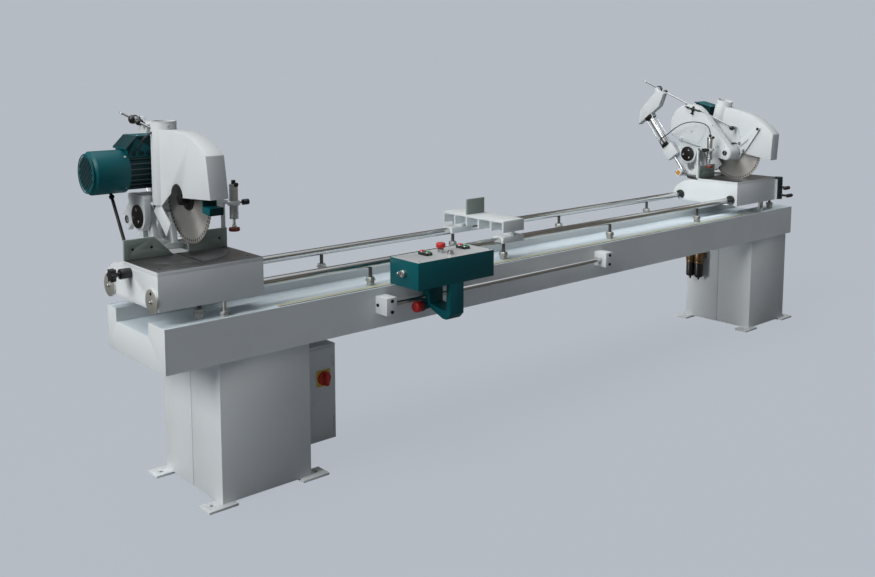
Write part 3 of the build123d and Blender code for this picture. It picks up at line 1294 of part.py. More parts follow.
def pointer():
    """Block with a thin strip under the sliding table, which reads the scale on the bed."""
    wall = (TABLE_FRONT, TABLE_FRONT + 2 * TABLE_WALL)
    low = BED_TOP + SCALE_THICK + RUN_GAP
    arm = block((POINTER_U, POINTER_U + POINTER_LENGTH), (wall[0], wall[0] + TABLE_WALL), (low, TABLE_BOTTOM))
    arm += block((POINTER_U, POINTER_U + POINTER_LENGTH), wall, (low, low + 2 * TABLE_WALL))
    strip_u = (POINTER_U + POINTER_LENGTH, POINTER_U + 4 * POINTER_LENGTH)
    strip = block(strip_u, wall, (low, low + SCALE_THICK))
    return [arm, strip]


def build_head(side):
    """File every piece of one head: the left one raised, the right one lowered onto the table."""
    down = 1 if side == "right" else 0

    def carry(shape):
        """Own frame to the machine's frame."""
        if down:
            return Pos(RIGHT_HEAD, 0, 0) * mirror(shape, Plane.YZ)
        return Pos(LEFT_HEAD, 0, 0) * shape

    def on_arm(shape):
        """Carried by the arm."""
        return carry(turned(shape, PIVOT, down * LIFT))

    def on_crank(shape):
        """Carried by the bell crank."""
        return on_arm(turned(shape, LEVER_PIN, down * LEVER_TURN))

    def on_feed(shape):
        """Carried by the feed cylinder."""
        return on_arm(turned(shape, TRUNNION, down * FEED_TURN))

    def file(name, carrier, *shapes):
        """Keep the pieces of one node after their carrier has moved them."""
        keep(side + "_" + name, *[carrier(shape) for shape in shapes])

    table = table_box(sliding=bool(down))
    if down:
        table += [right_lock_column(), *pointer()]
        file("lock", carry, right_lock())
        file("clamp_hose", carry, clamp_hose())
    else:
        through = (-TABLE_HALF - 1, -TABLE_HALF + TABLE_WALL + 1)
        pin_hole = rod_x(LOCK_PIN_R + RUN_CLEAR, through, LOCK_Y, LOCK_Z)
        table = [table[0] - pin_hole, levelling_bolt()]
        file("lock", carry, left_lock())
        file("motor_cable", on_arm, motor_cable())
    file("table", carry, *table)
    file("table_top", carry, table_plate(), *fence_plates())
    file("clamp", carry, *clamp_stand())
    file("clamp_rod", carry, *clamp_plunger())
    file("turntable", carry, turntable_disc())
    file("yoke", carry, yoke(), solenoid())
    file("arm", on_arm, arm_casting(), pivot_pin())
    file("belt_cover", on_arm, belt_cover())
    file("guard", on_arm, guard_shell())
    file("motor", on_arm, *motor_pieces())
    file("blade", on_arm, slab(blade_face(), (-BLADE_THICK / 2, BLADE_THICK / 2)))
    file("spindle", on_arm, spindle_shaft())
    file("rotor", on_arm, rotor_shaft())
    file("drive_belt", on_arm, belt_loop())
    file("swing_guard", lambda shape: on_arm(turned(shape, SPINDLE, down * SWING_TURN)), swing_guard())
    file("guard_lever", on_crank, bell_crank())
    file("guard_link", lambda shape: on_crank(turned(shape, LINK_PIN, down * LINK_TURN)), link_bar())
    file("guard_rod", lambda shape: on_feed(turned(shape, ROD_ANCHOR, down * ROD_TURN)), guard_rod())
    file("feed_cylinder", on_feed, *feed_cylinder())
    reach = hypot(TRUNNION[0] - FEED_FOOT[0], TRUNNION[1] - FEED_FOOT[1])
    share = -down * FEED_STROKE / reach
    step = [(a - b) * share for a, b in zip(TRUNNION, FEED_FOOT)]
    file("feed_rod", lambda shape: on_feed(Pos(0, *step) * shape), feed_rod())


build_head("left")
build_head("right")
keep("bed_beam", *bed_pieces())
keep("pedestals", *pedestal(-LEG_SPAN / 2), *pedestal(LEG_SPAN / 2))
keep("guide_rails", *rail_pieces())
keep("electrical_cabinet", *cabinet_pieces())
keep("main_switch", switch_knob())
keep("filter_regulator", *filter_pieces())
keep("control_rail", *control_rail_pieces())
keep("control_box", *control_pieces())
keep("control_knob", control_knob())
button_names = ["left_stop", "left_start", "right_stop", "right_start"]
for button, (x, y, r) in zip(button_names, button_places()):
    keep(button + "_button", push_button(x, y, r))
keep("emergency_stop", stop_button())
keep("feed_button", push_button(STOP_X, FEED_BUTTON_Y, FEED_BUTTON_R))
keep("middle_support", *middle_support())

os.makedirs("parts", exist_ok=True)
for name, solids in nodes.items():
    export_step(Compound(solids), os.path.join("parts", name + ".step"))
print(len(nodes), "nodes")
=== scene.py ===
from math import cos, hypot, pi, radians, sin

import bmesh
import bpy
from mathutils import Euler, Matrix, Vector


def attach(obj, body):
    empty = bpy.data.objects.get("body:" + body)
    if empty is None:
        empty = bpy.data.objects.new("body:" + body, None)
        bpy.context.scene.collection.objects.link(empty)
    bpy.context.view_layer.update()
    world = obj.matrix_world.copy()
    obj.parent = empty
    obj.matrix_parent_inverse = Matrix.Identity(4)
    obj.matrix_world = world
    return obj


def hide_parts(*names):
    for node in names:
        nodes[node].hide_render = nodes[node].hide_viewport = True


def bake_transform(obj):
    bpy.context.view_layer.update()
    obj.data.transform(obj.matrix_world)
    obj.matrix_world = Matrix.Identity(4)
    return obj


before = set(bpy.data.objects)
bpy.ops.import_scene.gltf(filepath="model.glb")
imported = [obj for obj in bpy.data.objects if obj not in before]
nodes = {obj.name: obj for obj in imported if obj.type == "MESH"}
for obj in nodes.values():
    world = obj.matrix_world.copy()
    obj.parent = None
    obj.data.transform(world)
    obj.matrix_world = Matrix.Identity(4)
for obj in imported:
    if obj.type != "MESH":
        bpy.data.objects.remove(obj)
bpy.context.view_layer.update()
scene = bpy.context.scene
scene.view_settings.view_transform = "Standard"


# Camera
# The photograph looks along the saw from its left front corner, a little above the heads and
# slightly down, with the lens shifted so that the saw sits in the frame as it does there.
photo_width = 875
focal_pixels = 994.1
tilt_down = 6.74
turn_right = 41.57
camera_data = bpy.data.cameras.new("photo_camera")
camera_data.sensor_width = 36
camera_data.lens = camera_data.sensor_width * focal_pixels / photo_width
camera_data.shift_x = 0.0019
camera_data.shift_y = -0.1342
camera_data.clip_end = 200
camera = bpy.data.objects.new("photo_camera", camera_data)
camera.location = (-3.9346, -3.5531, 1.7578)
camera.rotation_euler = Euler((radians(90 - tilt_down), 0, radians(-turn_right)))
scene.collection.objects.link(camera)
scene.camera = camera


# Floor, surroundings and studio light
# A plain blue-grey paper floor under a broad sun from the left end and one from above, with a weak
# box in front, a faint sky and a small spot on the right leg's side. Bright metal mirrors a dim
# floor and a dim room with a pale ceiling instead of the paper.
def new_material(name):
    """Material with its Principled shader and its node tree."""
    material = bpy.data.materials.new(name)
    material.use_nodes = True
    tree = material.node_tree
    return material, tree.nodes["Principled BSDF"], tree


def add_node(tree, kind, **values):
    """New shader node, with values for some of its inputs."""
    node = tree.nodes.new("ShaderNode" + kind)
    for name, value in values.items():
        node.inputs[name].default_value = value
    return node


def mixed(tree, share, under, over):
    """Shader that goes from one to another by a share."""
    node = add_node(tree, "MixShader")
    for socket, source in zip(node.inputs, (share, under, over)):
        tree.links.new(source, socket)
    return node.outputs["Shader"]


def backdrop(name, colour, in_mirrors):
    """Paper that is even to the eye, takes a faint shadow, throws little light back and is dim in mirrors."""
    thrown_back = 0.55
    even_share = 0.86
    material, shader, tree = new_material(name)
    shader.inputs["Base Color"].default_value = (*[channel * thrown_back for channel in colour], 1)
    shader.inputs["Roughness"].default_value = 0.9
    shader.inputs["Specular IOR Level"].default_value = 0.0
    rays = add_node(tree, "LightPath")
    share = add_node(tree, "Math")
    share.operation = "MULTIPLY"
    share.inputs[1].default_value = even_share
    tree.links.new(rays.outputs["Is Camera Ray"], share.inputs[0])
    even = add_node(tree, "Emission", Color=(*colour, 1)).outputs["Emission"]
    dim = add_node(tree, "Emission", Color=(*in_mirrors, 1)).outputs["Emission"]
    to_the_eye = mixed(tree, share.outputs[0], shader.outputs["BSDF"], even)
    surface = mixed(tree, rays.outputs["Is Glossy Ray"], to_the_eye, dim)
    tree.links.new(surface, tree.nodes["Material Output"].inputs["Surface"])
    return material


paper = (0.50, 0.535, 0.59)
bpy.ops.mesh.primitive_plane_add(size=120, location=(0, 0, 0))
floor = bpy.context.object
floor.name = "floor"
floor.data.materials.append(backdrop("paper_floor", paper, (0.10, 0.098, 0.09)))

world = bpy.data.worlds.new("studio")
world.use_nodes = True
scene.world = world
studio = world.node_tree
sky = studio.nodes["Background"]
sky.inputs["Color"].default_value = (0.93, 0.97, 1.0, 1)
sky.inputs["Strength"].default_value = 0.06
seen = add_node(studio, "Background", Color=(*paper, 1), Strength=0.925)


def ramp(tree, value, stops):
    """Colour ramp with the stops (place, colour)."""
    node = add_node(tree, "ValToRGB")
    elements = node.color_ramp.elements
    for stop in stops[1:-1]:
        elements.new(stop[0])
    for element, (place, colour) in zip(elements, stops):
        element.position = place
        element.color = (*colour, 1)
    tree.links.new(value, node.inputs["Fac"])
    return node.outputs["Color"]


def drive(tree, value, stops, socket):
    """Lead a value through a ramp into a socket."""
    tree.links.new(ramp(tree, value, stops), socket)


def room_in_mirrors(tree):
    """What bright metal reflects: a dim room to the sides and a pale ceiling above."""
    split = add_node(tree, "SeparateXYZ")
    tree.links.new(add_node(tree, "TexCoord").outputs["Generated"], split.inputs[0])
    shade = add_node(tree, "Background")
    low_to_high = [
        (0.0, (0.34, 0.33, 0.30)), (0.12, (0.10, 0.09, 0.075)),
        (0.42, (0.13, 0.12, 0.11)), (0.75, (0.85, 0.89, 0.95)),
    ]
    drive(tree, split.outputs["Z"], low_to_high, shade.inputs["Color"])
    return shade.outputs["Background"]


rays = add_node(studio, "LightPath")
surround = mixed(studio, rays.outputs["Is Glossy Ray"], sky.outputs["Background"], room_in_mirrors(studio))
surround = mixed(studio, rays.outputs["Is Camera Ray"], surround, seen.outputs["Background"])
studio.links.new(surround, studio.nodes["World Output"].inputs["Surface"])


def lamp(name, kind, place, aim, energy):
    """Lamp that faces a point."""
    light = bpy.data.lights.new(name, kind)
    light.energy = energy
    holder = bpy.data.objects.new(name, light)
    holder.location = place
    holder.rotation_euler = (Vector(aim) - Vector(place)).to_track_quat("-Z", "Y").to_euler()
    scene.collection.objects.link(holder)
    return light


bed_middle = (0, 0, 0.8)
lamp("end_light", "SUN", (-9.0, -0.3, 6.2), bed_middle, 2.1).angle = radians(35)
lamp("top_light", "SUN", (-1.5, 1.5, 9.0), bed_middle, 1.6).angle = radians(50)
lamp("front_box", "AREA", (1.0, -7.5, 4.5), (0.2, 0, 0.8), 10).size = 5.0
leg_fill = lamp("leg_fill", "SPOT", (-0.6, 1.2, 0.42), (1.7, 0.16, 0.28), 66)
leg_fill.spot_size = radians(22)
leg_fill.spot_blend = 0.9
leg_fill.shadow_soft_size = 0.25


# Bed beam
# A pressed and welded steel box, about 4.5 m long, with a trough along its top, closed by end
# plates and sprayed light grey; its upward faces take a paler, bluer paint that is a painted
# reflection of the sky and top light. A measuring strip is stuck along its front edge.
def own_place(tree):
    """Coordinates of the piece itself."""
    return add_node(tree, "TexCoord").outputs["Object"]


def noise(tree, scale, detail):
    """Noise on the piece's own coordinates."""
    texture = add_node(tree, "TexNoise", Scale=scale, Detail=detail, Roughness=0.55)
    tree.links.new(own_place(tree), texture.inputs["Vector"])
    return texture.outputs["Fac"]


def bump(tree, shader, value, depth, strength):
    """Surface relief from a value."""
    node = add_node(tree, "Bump", Strength=strength, Distance=depth)
    tree.links.new(value, node.inputs["Height"])
    tree.links.new(node.outputs["Normal"], shader.inputs["Normal"])


def spread(colour, amount):
    """The same colour, lighter or darker by a share."""
    return tuple(min(1.0, channel * (1 + amount)) for channel in colour)


def greys(low, high):
    """Stops of a ramp from one plain value to another."""
    return [(0.3, (low,) * 3), (0.7, (high,) * 3)]


def sprayed(name, colour, rough=0.42, shine=0.35):
    """Sprayed machine paint: faint clouding, orange peel and dull patches where hands and dust have been."""
    material, shader, tree = new_material(name)
    shader.inputs["Specular IOR Level"].default_value = shine
    clouds = [(0.3, spread(colour, -0.06)), (0.52, colour), (0.75, spread(colour, 0.03))]
    drive(tree, noise(tree, 2.6, 6), clouds, shader.inputs["Base Color"])
    drive(tree, noise(tree, 9, 5), greys(rough - 0.08, rough + 0.1), shader.inputs["Roughness"])
    bump(tree, shader, noise(tree, 420, 2), 0.0004, 0.25)
    return material


light_grey = sprayed("light_grey_paint", (0.70, 0.735, 0.745))


def dress(node, *finishes, edge=0.0012):
    """Give a CAD node its finishes, welded and with softened edges."""
    piece = nodes[node]
    piece.data.materials.clear()
    for finish in finishes:
        piece.data.materials.append(finish)
    for face in piece.data.polygons:
        face.material_index = 0
        face.use_smooth = True
    piece.modifiers.new("weld", "WELD").merge_threshold = 0.00002
    flat = piece.modifiers.new("flat", "DECIMATE")
    flat.decimate_type = "DISSOLVE"
    flat.angle_limit = radians(0.6)
    flat.delimit = {"MATERIAL"}
    if edge:
        soft = piece.modifiers.new("soft_edges", "BEVEL")
        soft.width = edge
        soft.segments = 2
        soft.limit_method = "ANGLE"
        soft.angle_limit = radians(38)
        soft.miter_outer = "MITER_ARC"
    piece.modifiers.new("crisp", "EDGE_SPLIT").split_angle = radians(40)


def finish_where(node, index, test):
    """Give the faces whose middle passes the test one of the node's other finishes."""
    for face in nodes[node].data.polygons:
        if test(face.center, face.normal):
            face.material_index = index


def ruled_strip(name, front, back):
    """Pale steel rule with a yellow back edge, a dark front edge and a tick for each 10 and 100 mm."""
    tick_width = 0.0011
    yellow_edge = 0.017
    dark_edge = 0.007
    material, shader, tree = new_material(name)
    shader.inputs["Roughness"].default_value = 0.35
    split = add_node(tree, "SeparateXYZ")
    tree.links.new(own_place(tree), split.inputs[0])
    along = split.outputs["X"]
    across = split.outputs["Y"]

    def reckon(kind, first, second):
        """One step of arithmetic on the strip's coordinates."""
        node = add_node(tree, "Math")
        node.operation = kind
        for socket, value in zip(node.inputs, (first, second)):
            if isinstance(value, (int, float)):
                socket.default_value = value
            else:
                tree.links.new(value, socket)
        return node.outputs[0]

    def tint(share, under, colour):
        """Lay a colour over what is there already."""
        mix = add_node(tree, "Mix")
        mix.data_type = "RGBA"
        tree.links.new(share, mix.inputs["Factor"])
        tree.links.new(under, mix.inputs[6])
        mix.inputs[7].default_value = (*colour, 1)
        return mix.outputs[2]

    colour = ramp(tree, noise(tree, 30, 5), [(0.3, (0.52, 0.54, 0.53)), (0.7, (0.64, 0.65, 0.63))])
    for pitch, reach in ((0.01, 0.4), (0.1, 0.75)):
        on_tick = reckon("LESS_THAN", reckon("FLOORED_MODULO", along, pitch), tick_width)
        in_reach = reckon("LESS_THAN", across, front + (back - front) * reach)
        colour = tint(reckon("MULTIPLY", on_tick, in_reach), colour, (0.03, 0.03, 0.03))
    colour = tint(reckon("GREATER_THAN", across, back - yellow_edge), colour, (0.68, 0.69, 0.38))
    colour = tint(reckon("LESS_THAN", across, front + dark_edge), colour, (0.05, 0.05, 0.05))
    tree.links.new(colour, shader.inputs["Base Color"])
    bump(tree, shader, noise(tree, 300, 3), 0.0001, 0.2)
    return material


strip_low = 0.7552
trough_low = 0.6
measure = ruled_strip("measure_strip", -0.244, -0.210)
# Upward faces take a paler, bluer paint: painted reflection of the sky and top light.
bed_top_painted_light = sprayed("bed_top_painted_skylight", (0.82, 0.93, 1.0), 0.36)
dress("bed_beam", light_grey, measure, bed_top_painted_light)
finish_where("bed_beam", 2, lambda place, normal: place.z > trough_low and normal.z > 0.7)
finish_where("bed_beam", 1, lambda place, normal: place.z > strip_low)


# Pedestals
# Each leg is two folded sheet halves with a seam down the side, standing on four welded
# foot plates with a hole for a floor bolt.
dress("pedestals", light_grey)


# Guide rails
# Ground and chromed round bars on short studs with washers and nuts, with a flat turned disc
# closing each end; on the left ends a bolt and a screw hold it.
def metal(name, colour, rough, along=(60, 60, 60), wear=0.12):
    """Bare metal with fine tool marks that run the long way of the stretch given."""
    material, shader, tree = new_material(name)
    shader.inputs["Metallic"].default_value = 1.0
    stretch = add_node(tree, "Mapping", Scale=along)
    marks = add_node(tree, "TexNoise", Scale=6, Detail=6)
    tree.links.new(own_place(tree), stretch.inputs["Vector"])
    tree.links.new(stretch.outputs["Vector"], marks.inputs["Vector"])
    mark = marks.outputs["Fac"]
    drive(tree, mark, [(0.3, spread(colour, -wear)), (0.7, colour)], shader.inputs["Base Color"])
    drive(tree, mark, greys(rough + 0.08, rough - 0.04), shader.inputs["Roughness"])
    bump(tree, shader, mark, 0.0001, 0.15)
    return material


chrome = metal("rail_chrome", (0.66, 0.66, 0.65), 0.12, (3, 90, 90), 0.06)
stud_steel = metal("stud_steel", (0.16, 0.16, 0.16), 0.45)
zinc = metal("zinc_nuts", (0.55, 0.56, 0.54), 0.4)
cap_steel = metal("turned_cap", (0.74, 0.74, 0.71), 0.5, (40, 40, 40))
black_screw = metal("black_screw", (0.03, 0.03, 0.032), 0.4)
bright = metal("bright_steel", (0.68, 0.69, 0.70), 0.22)
stud_top = 0.8334
nut_top = 0.7785
cap_right = -2.3389
dress("guide_rails", chrome, stud_steel, zinc, cap_steel, edge=0.0008)
finish_where("guide_rails", 1, lambda place, normal: place.z < stud_top and -2.338 < place.x < 1.988)
finish_where("guide_rails", 2, lambda place, normal: place.z < nut_top)
finish_where("guide_rails", 3, lambda place, normal: place.x < cap_right)


def mesh_of(form, name):
    """Mesh of a finished form."""
    mesh = bpy.data.meshes.new(name)
    form.to_mesh(mesh)
    form.free()
    return mesh


def turned_shape(profile, steps=16):
    """Mesh of a profile of (radius, height) turned about Z."""
    form = bmesh.new()
    line = [form.verts.new((radius, 0, height)) for radius, height in profile]
    edges = [form.edges.new(pair) for pair in zip(line, line[1:])]
    bmesh.ops.spin(
        form, geom=line + edges, axis=(0, 0, 1), cent=(0, 0, 0), angle=2 * pi, steps=steps, use_merge=True,
    )
    bmesh.ops.remove_doubles(form, verts=form.verts, dist=0.00001)
    return mesh_of(form, "turned_shape")


leftward = (-1, 0, 0)
forward = (0, -1, 0)


def facing(place, direction=(0, 0, 1)):
    """Matrix that stands a shape at a place, looking along a direction."""
    return Matrix.Translation(place) @ Vector(direction).to_track_quat("Z", "Y").to_matrix().to_4x4()


def fitted(name, shape, places, finish, body):
    """One object of copies of a shape, each set in its place, that rides on a body."""
    form = bmesh.new()
    for place in places:
        before = len(form.verts)
        form.from_mesh(shape)
        form.verts.ensure_lookup_table()
        bmesh.ops.transform(form, matrix=place, verts=form.verts[before:])
    bmesh.ops.recalc_face_normals(form, faces=form.faces)
    mesh = mesh_of(form, name)
    mesh.materials.append(finish)
    for face in mesh.polygons:
        face.use_smooth = True
    piece = bpy.data.objects.new(name, mesh)
    scene.collection.objects.link(piece)
    piece.modifiers.new("crisp", "EDGE_SPLIT").split_angle = radians(38)
    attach(piece, body)


sunk = -0.001


def socket_screw(radius, height):
    """Cap screw head with a socket in its top."""
    return turned_shape([
        (0, height * 0.4), (radius * 0.45, height * 0.4), (radius * 0.5, height),
        (radius * 0.9, height), (radius, height * 0.85), (radius, sunk), (0, sunk),
    ], 12)


def bolt_shape(across, height, stud=0.0):
    """Hexagon bolt head with a washer face and, where the bolt passes through, its rounded end."""
    profile = [(0, height + stud), (across * 0.26, height + stud)]
    if stud:
        profile += [(across * 0.3, height + stud * 0.8), (across * 0.3, height)]
    profile += [(across * 0.45, height), (across * 0.55, height * 0.85), (across * 0.55, height * 0.15)]
    profile += [(across * 0.64, height * 0.12), (across * 0.64, sunk), (0, sunk)]
    return turned_shape(profile, 6)


rail_lines = (-0.184, 0.184)
cap_left = -2.347
cap_bolts = [facing((cap_left, y, 0.851), leftward) for y in rail_lines]
fitted("rail_cap_bolts", bolt_shape(0.017, 0.0055, 0.003), cap_bolts, bright, "base")
cap_screws = [facing((cap_left, y, 0.881), leftward) for y in rail_lines]
fitted("rail_cap_screws", socket_screw(0.0065, 0.002), cap_screws, black_screw, "base")
washer = turned_shape([
    (0.0105, 0.0), (0.0225, 0.0), (0.0232, 0.001), (0.0228, 0.003), (0.0105, 0.003),
], 20)
lock_nut = turned_shape([
    (0.0095, 0.0), (0.0195, 0.0), (0.0205, 0.002), (0.0205, 0.010), (0.0185, 0.0125), (0.0095, 0.0125),
], 6)
first_post = -2.153
post_pitch = 0.825
posts = [(first_post + post_pitch * post, y) for post in range(6) for y in rail_lines]
fitted("post_washers", washer, [facing((x, y, 0.777)) for x, y in posts], zinc, "base")
fitted("post_nuts", lock_nut, [facing((x, y, 0.780)) for x, y in posts], zinc, "base")


# Electrical cabinet and main switch
# A small sheet steel cabinet hung on the left leg, with a hinged door, its lock and a red rotary
# switch on a yellow square plate.
def moulded(name, colour, rough):
    """Moulded plastic with a fine even grain."""
    material, shader, tree = new_material(name)
    speck = noise(tree, 900, 2)
    specks = [(0.35, spread(colour, -0.1)), (0.65, spread(colour, 0.06))]
    drive(tree, speck, specks, shader.inputs["Base Color"])
    drive(tree, noise(tree, 25, 4), greys(rough - 0.08, rough + 0.08), shader.inputs["Roughness"])
    bump(tree, shader, speck, 0.00008, 0.2)
    return material


red_cap = moulded("red_plastic", (0.55, 0.025, 0.02), 0.3)
yellow_plate = moulded("yellow_plate", (0.75, 0.5, 0.03), 0.4)
door_y = -0.104
switch_x = -1.528
switch_z = 0.361
screw_step = 0.029


def on_switch_plate(place, normal):
    """Whether a face belongs to the plate under the switch."""
    return place.y < door_y - 0.0005 and max(abs(place.x - switch_x), abs(place.z - switch_z)) < 0.06


dress("electrical_cabinet", light_grey, yellow_plate)
finish_where("electrical_cabinet", 1, on_switch_plate)
dress("main_switch", red_cap, edge=0.0006)
door_lock = turned_shape([
    (0, 0.0035), (0.0045, 0.0035), (0.005, 0.006), (0.0095, 0.006), (0.011, 0.0045), (0.011, sunk), (0, sunk),
])
fitted("cabinet_lock", door_lock, [facing((-1.652, door_y, 0.29), forward)], zinc, "base")
hinge = turned_shape([
    (0, 0.03), (0.004, 0.03), (0.005, 0.028), (0.005, 0.0105), (0.0042, 0.01), (0.0042, -0.01),
    (0.005, -0.0105), (0.005, -0.028), (0.004, -0.03), (0, -0.03),
], 12)
hinge_places = [facing((-1.4735, door_y, z)) for z in (0.15, 0.43)]
fitted("cabinet_hinges", hinge, hinge_places, light_grey, "base")
plate_screws = []
for x in (switch_x - screw_step, switch_x + screw_step):
    for z in (switch_z - screw_step, switch_z + screw_step):
        plate_screws.append(facing((x, door_y - 0.004, z), forward))
fitted("switch_plate_screws", socket_screw(0.0028, 0.0015), plate_screws, zinc, "base")


# Air filter and regulator
# A bronze-brown cast body on the right leg with two dark bowls below it, a knob above each and a
# small gauge.
bronze = metal("bronze_body", (0.30, 0.20, 0.11), 0.42)
black_plastic = moulded("black_plastic", (0.014, 0.014, 0.015), 0.38)
dial_white = moulded("dial_white", (0.74, 0.75, 0.73), 0.35)
filter_x = 1.6415
bowl_lines = (0.118, 0.181)
bowl_top = 0.403
dress("filter_regulator", bronze, black_plastic, edge=0.0008)
finish_where("filter_regulator", 1, lambda place, normal: place.z < bowl_top)
bowl_ring = turned_shape([
    (0.0262, 0.0), (0.0282, 0.0005), (0.0288, 0.003), (0.0288, 0.011), (0.0282, 0.0135), (0.0262, 0.014),
], 24)
fitted("bowl_rings", bowl_ring, [facing((filter_x, y, 0.384)) for y in bowl_lines], bronze, "base")
adjuster = turned_shape([
    (0, 0.0), (0.012, 0.0), (0.017, 0.002), (0.0185, 0.006), (0.018, 0.022), (0.0155, 0.026), (0, 0.0265),
], 20)
adjuster_places = [facing((filter_x, y, 0.465)) for y in bowl_lines]
fitted("pressure_knobs", adjuster, adjuster_places, black_plastic, "base")
gauge_dial = turned_shape([(0, 0.0006), (0.0165, 0.0006), (0.0172, 0.0), (0.0172, sunk)], 28)
gauge_needle = turned_shape([
    (0, 0.0115), (0.0006, 0.0115), (0.0012, 0.0), (0.0024, -0.0012), (0.0016, -0.0035), (0, -0.0035),
], 8)
gauge_at = Vector((1.6265, 0.247, 0.4335))
fitted("gauge_dial", gauge_dial, [facing(gauge_at, leftward)], dial_white, "base")
fitted("gauge_needle", gauge_needle, [facing(gauge_at, (0, 0.6, 0.8))], black_screw, "base")


# Control rail
# A chromed bar along the front of the bed in two square cast brackets, each held by screws.
control_y = -0.29
control_z = 0.685
control_middle = -0.591


def on_rail_bracket(place, normal):
    """Whether a face lies off the bar or beyond its free length."""
    return hypot(place.y - control_y, place.z - control_z) > 0.0125 or abs(place.x - control_middle) > 0.705


dress("control_rail", chrome, light_grey, edge=0.0008)
finish_where("control_rail", 1, on_rail_bracket)
bracket_places = []
for x in (-1.324, 0.142):
    for z in (0.661, 0.709):
        bracket_places.append(facing((x, -0.328, z), forward))
    bracket_places.append(facing((x - 0.028, -0.268, control_z), leftward))
fitted("rail_bracket_screws", socket_screw(0.0075, 0.005), bracket_places, black_screw, "base")


# Control box and its buttons
# A teal sheet steel box on a hook that runs on the rail, with a pale top panel, two twin
# push buttons, a mushroom stop, a feed button and a key lock in its left end.
teal = sprayed("teal_paint", (0.002, 0.098, 0.115), 0.36, shine=0.22)
panel_grey = sprayed("panel_grey", (0.50, 0.52, 0.53), 0.4)
green_cap = moulded("green_plastic", (0.03, 0.25, 0.09), 0.3)
panel_low = 0.8815
panel_high = 0.8865
stop_x = -1.054
box_left = -1.2803
knob_left = -1.1485


def on_stop_base(place, normal):
    """Whether a face belongs to the collar under the mushroom stop."""
    return place.z > panel_high and abs(place.x - stop_x) < 0.04


dress("control_box", teal, panel_grey, black_plastic, bright)
finish_where("control_box", 1, lambda place, normal: place.z > panel_low)
finish_where("control_box", 2, lambda place, normal: place.z > panel_high)
finish_where("control_box", 3, on_stop_base)
finish_where("control_box", 3, lambda place, normal: place.x < box_left)
for button in ("left_stop_button", "right_stop_button", "emergency_stop"):
    dress(button, red_cap, edge=0.0006)
for button in ("left_start_button", "right_start_button"):
    dress(button, green_cap, edge=0.0006)
dress("feed_button", bright, edge=0.0006)
dress("control_knob", black_plastic, red_cap, edge=0.001)
finish_where("control_knob", 1, lambda place, normal: place.x < knob_left)
panel_places = [facing((x, y, 0.886)) for x in (-1.264, -0.851) for y in (-0.436, -0.276)]
fitted("panel_screws", socket_screw(0.0055, 0.003), panel_places, bright, "control")
key_bow = turned_shape([
    (0.0040, -0.0011), (0.0085, -0.0011), (0.0095, 0), (0.0085, 0.0011), (0.0040, 0.0011), (0.0040, -0.0011),
])
key_shank = turned_shape([
    (0, 0.0), (0.0026, 0.0), (0.0026, 0.009), (0.0036, 0.010), (0.0036, 0.012), (0, 0.012),
], 10)
lock_face = turned_shape([
    (0, 0.0012), (0.0090, 0.0012), (0.0098, 0.0030), (0.0145, 0.0034), (0.0165, 0.0010), (0.0165, -0.0105),
], 24)
lock_at = Vector((-1.291, -0.356, 0.827))
bow_place = facing(lock_at + Vector((-0.020, -0.004, 0.004)), (-0.35, -1, 0))
fitted("key_lock_face", lock_face, [facing(lock_at, leftward)], zinc, "control")
fitted("key_shank", key_shank, [facing(lock_at, leftward)], bright, "control")
fitted("key_bow", key_bow, [bow_place], bright, "control")
bezel = turned_shape([
    (0.0117, 0.0), (0.0117, 0.0022), (0.0125, 0.0028), (0.0145, 0.0024), (0.0150, 0.0012), (0.0150, -0.0004),
], 24)
bezel_places = [facing((x, y, 0.898)) for x in (-1.140, -0.915) for y in (-0.350, -0.314)]
fitted("button_bezels", bezel, bezel_places, bright, "control")


# Middle support
# A ribbed casting that bridges both rails on forked feet, with an upright stop plate.
fence_paint = sprayed("fence_grey_green", (0.26, 0.315, 0.29), 0.45)
stop_plate_low = 0.9505
dress("middle_support", light_grey, fence_paint)
finish_where("middle_support", 1, lambda place, normal: place.z > stop_plate_low)


# Table boxes
# Thick-walled cast boxes under each head; the right one rides on the rails in dark collars
# and carries the lock column and the pointer.
dark_green = sprayed("dark_green_paint", (0.012, 0.038, 0.036), 0.4)
dark_collar = moulded("dark_collar", (0.008, 0.014, 0.014), 0.5)
box_low = 0.8155
column_left = 1.9565
collar_right = 1.5095
dress("left_table", light_grey, zinc)
dress("right_table", light_grey, dark_green, bright, dark_collar)
finish_where("left_table", 1, lambda place, normal: place.z < box_low)
finish_where("right_table", 1, lambda place, normal: place.x > column_left and place.y < -0.2)
finish_where("right_table", 3, lambda place, normal: place.x < collar_right)
finish_where("right_table", 2, lambda place, normal: place.z < box_low and place.x > 1.6)


# Table tops, fences and turntables
# Ground cast iron plates round a flush turntable with the blade's kerf, and two fence plates
# bolted along the back.
sides = ("left", "right")
deck_z = 0.965
ground_iron = metal("ground_iron", (0.22, 0.22, 0.22), 0.36, (12, 140, 140), 0.25)
# Near-black painted shade for the kerf, the guard's inside, the cowl's slots and the blade's gullets.
hollow_painted_shade = moulded("hollow_painted_shade", (0.006, 0.006, 0.007), 0.75)


def on_plate_side(place, normal):
    """Whether a face is one of the table plate's painted sides."""
    return place.z < deck_z - 0.001 and abs(normal.z) < 0.5


for side in sides:
    dress(side + "_table_top", ground_iron, fence_paint, light_grey)
    finish_where(side + "_table_top", 1, lambda place, normal: place.z > deck_z + 0.0005)
    finish_where(side + "_table_top", 2, on_plate_side)
    dress(side + "_turntable", ground_iron, light_grey, hollow_painted_shade)
    finish_where(side + "_turntable", 1, lambda place, normal: place.y > 0.245)
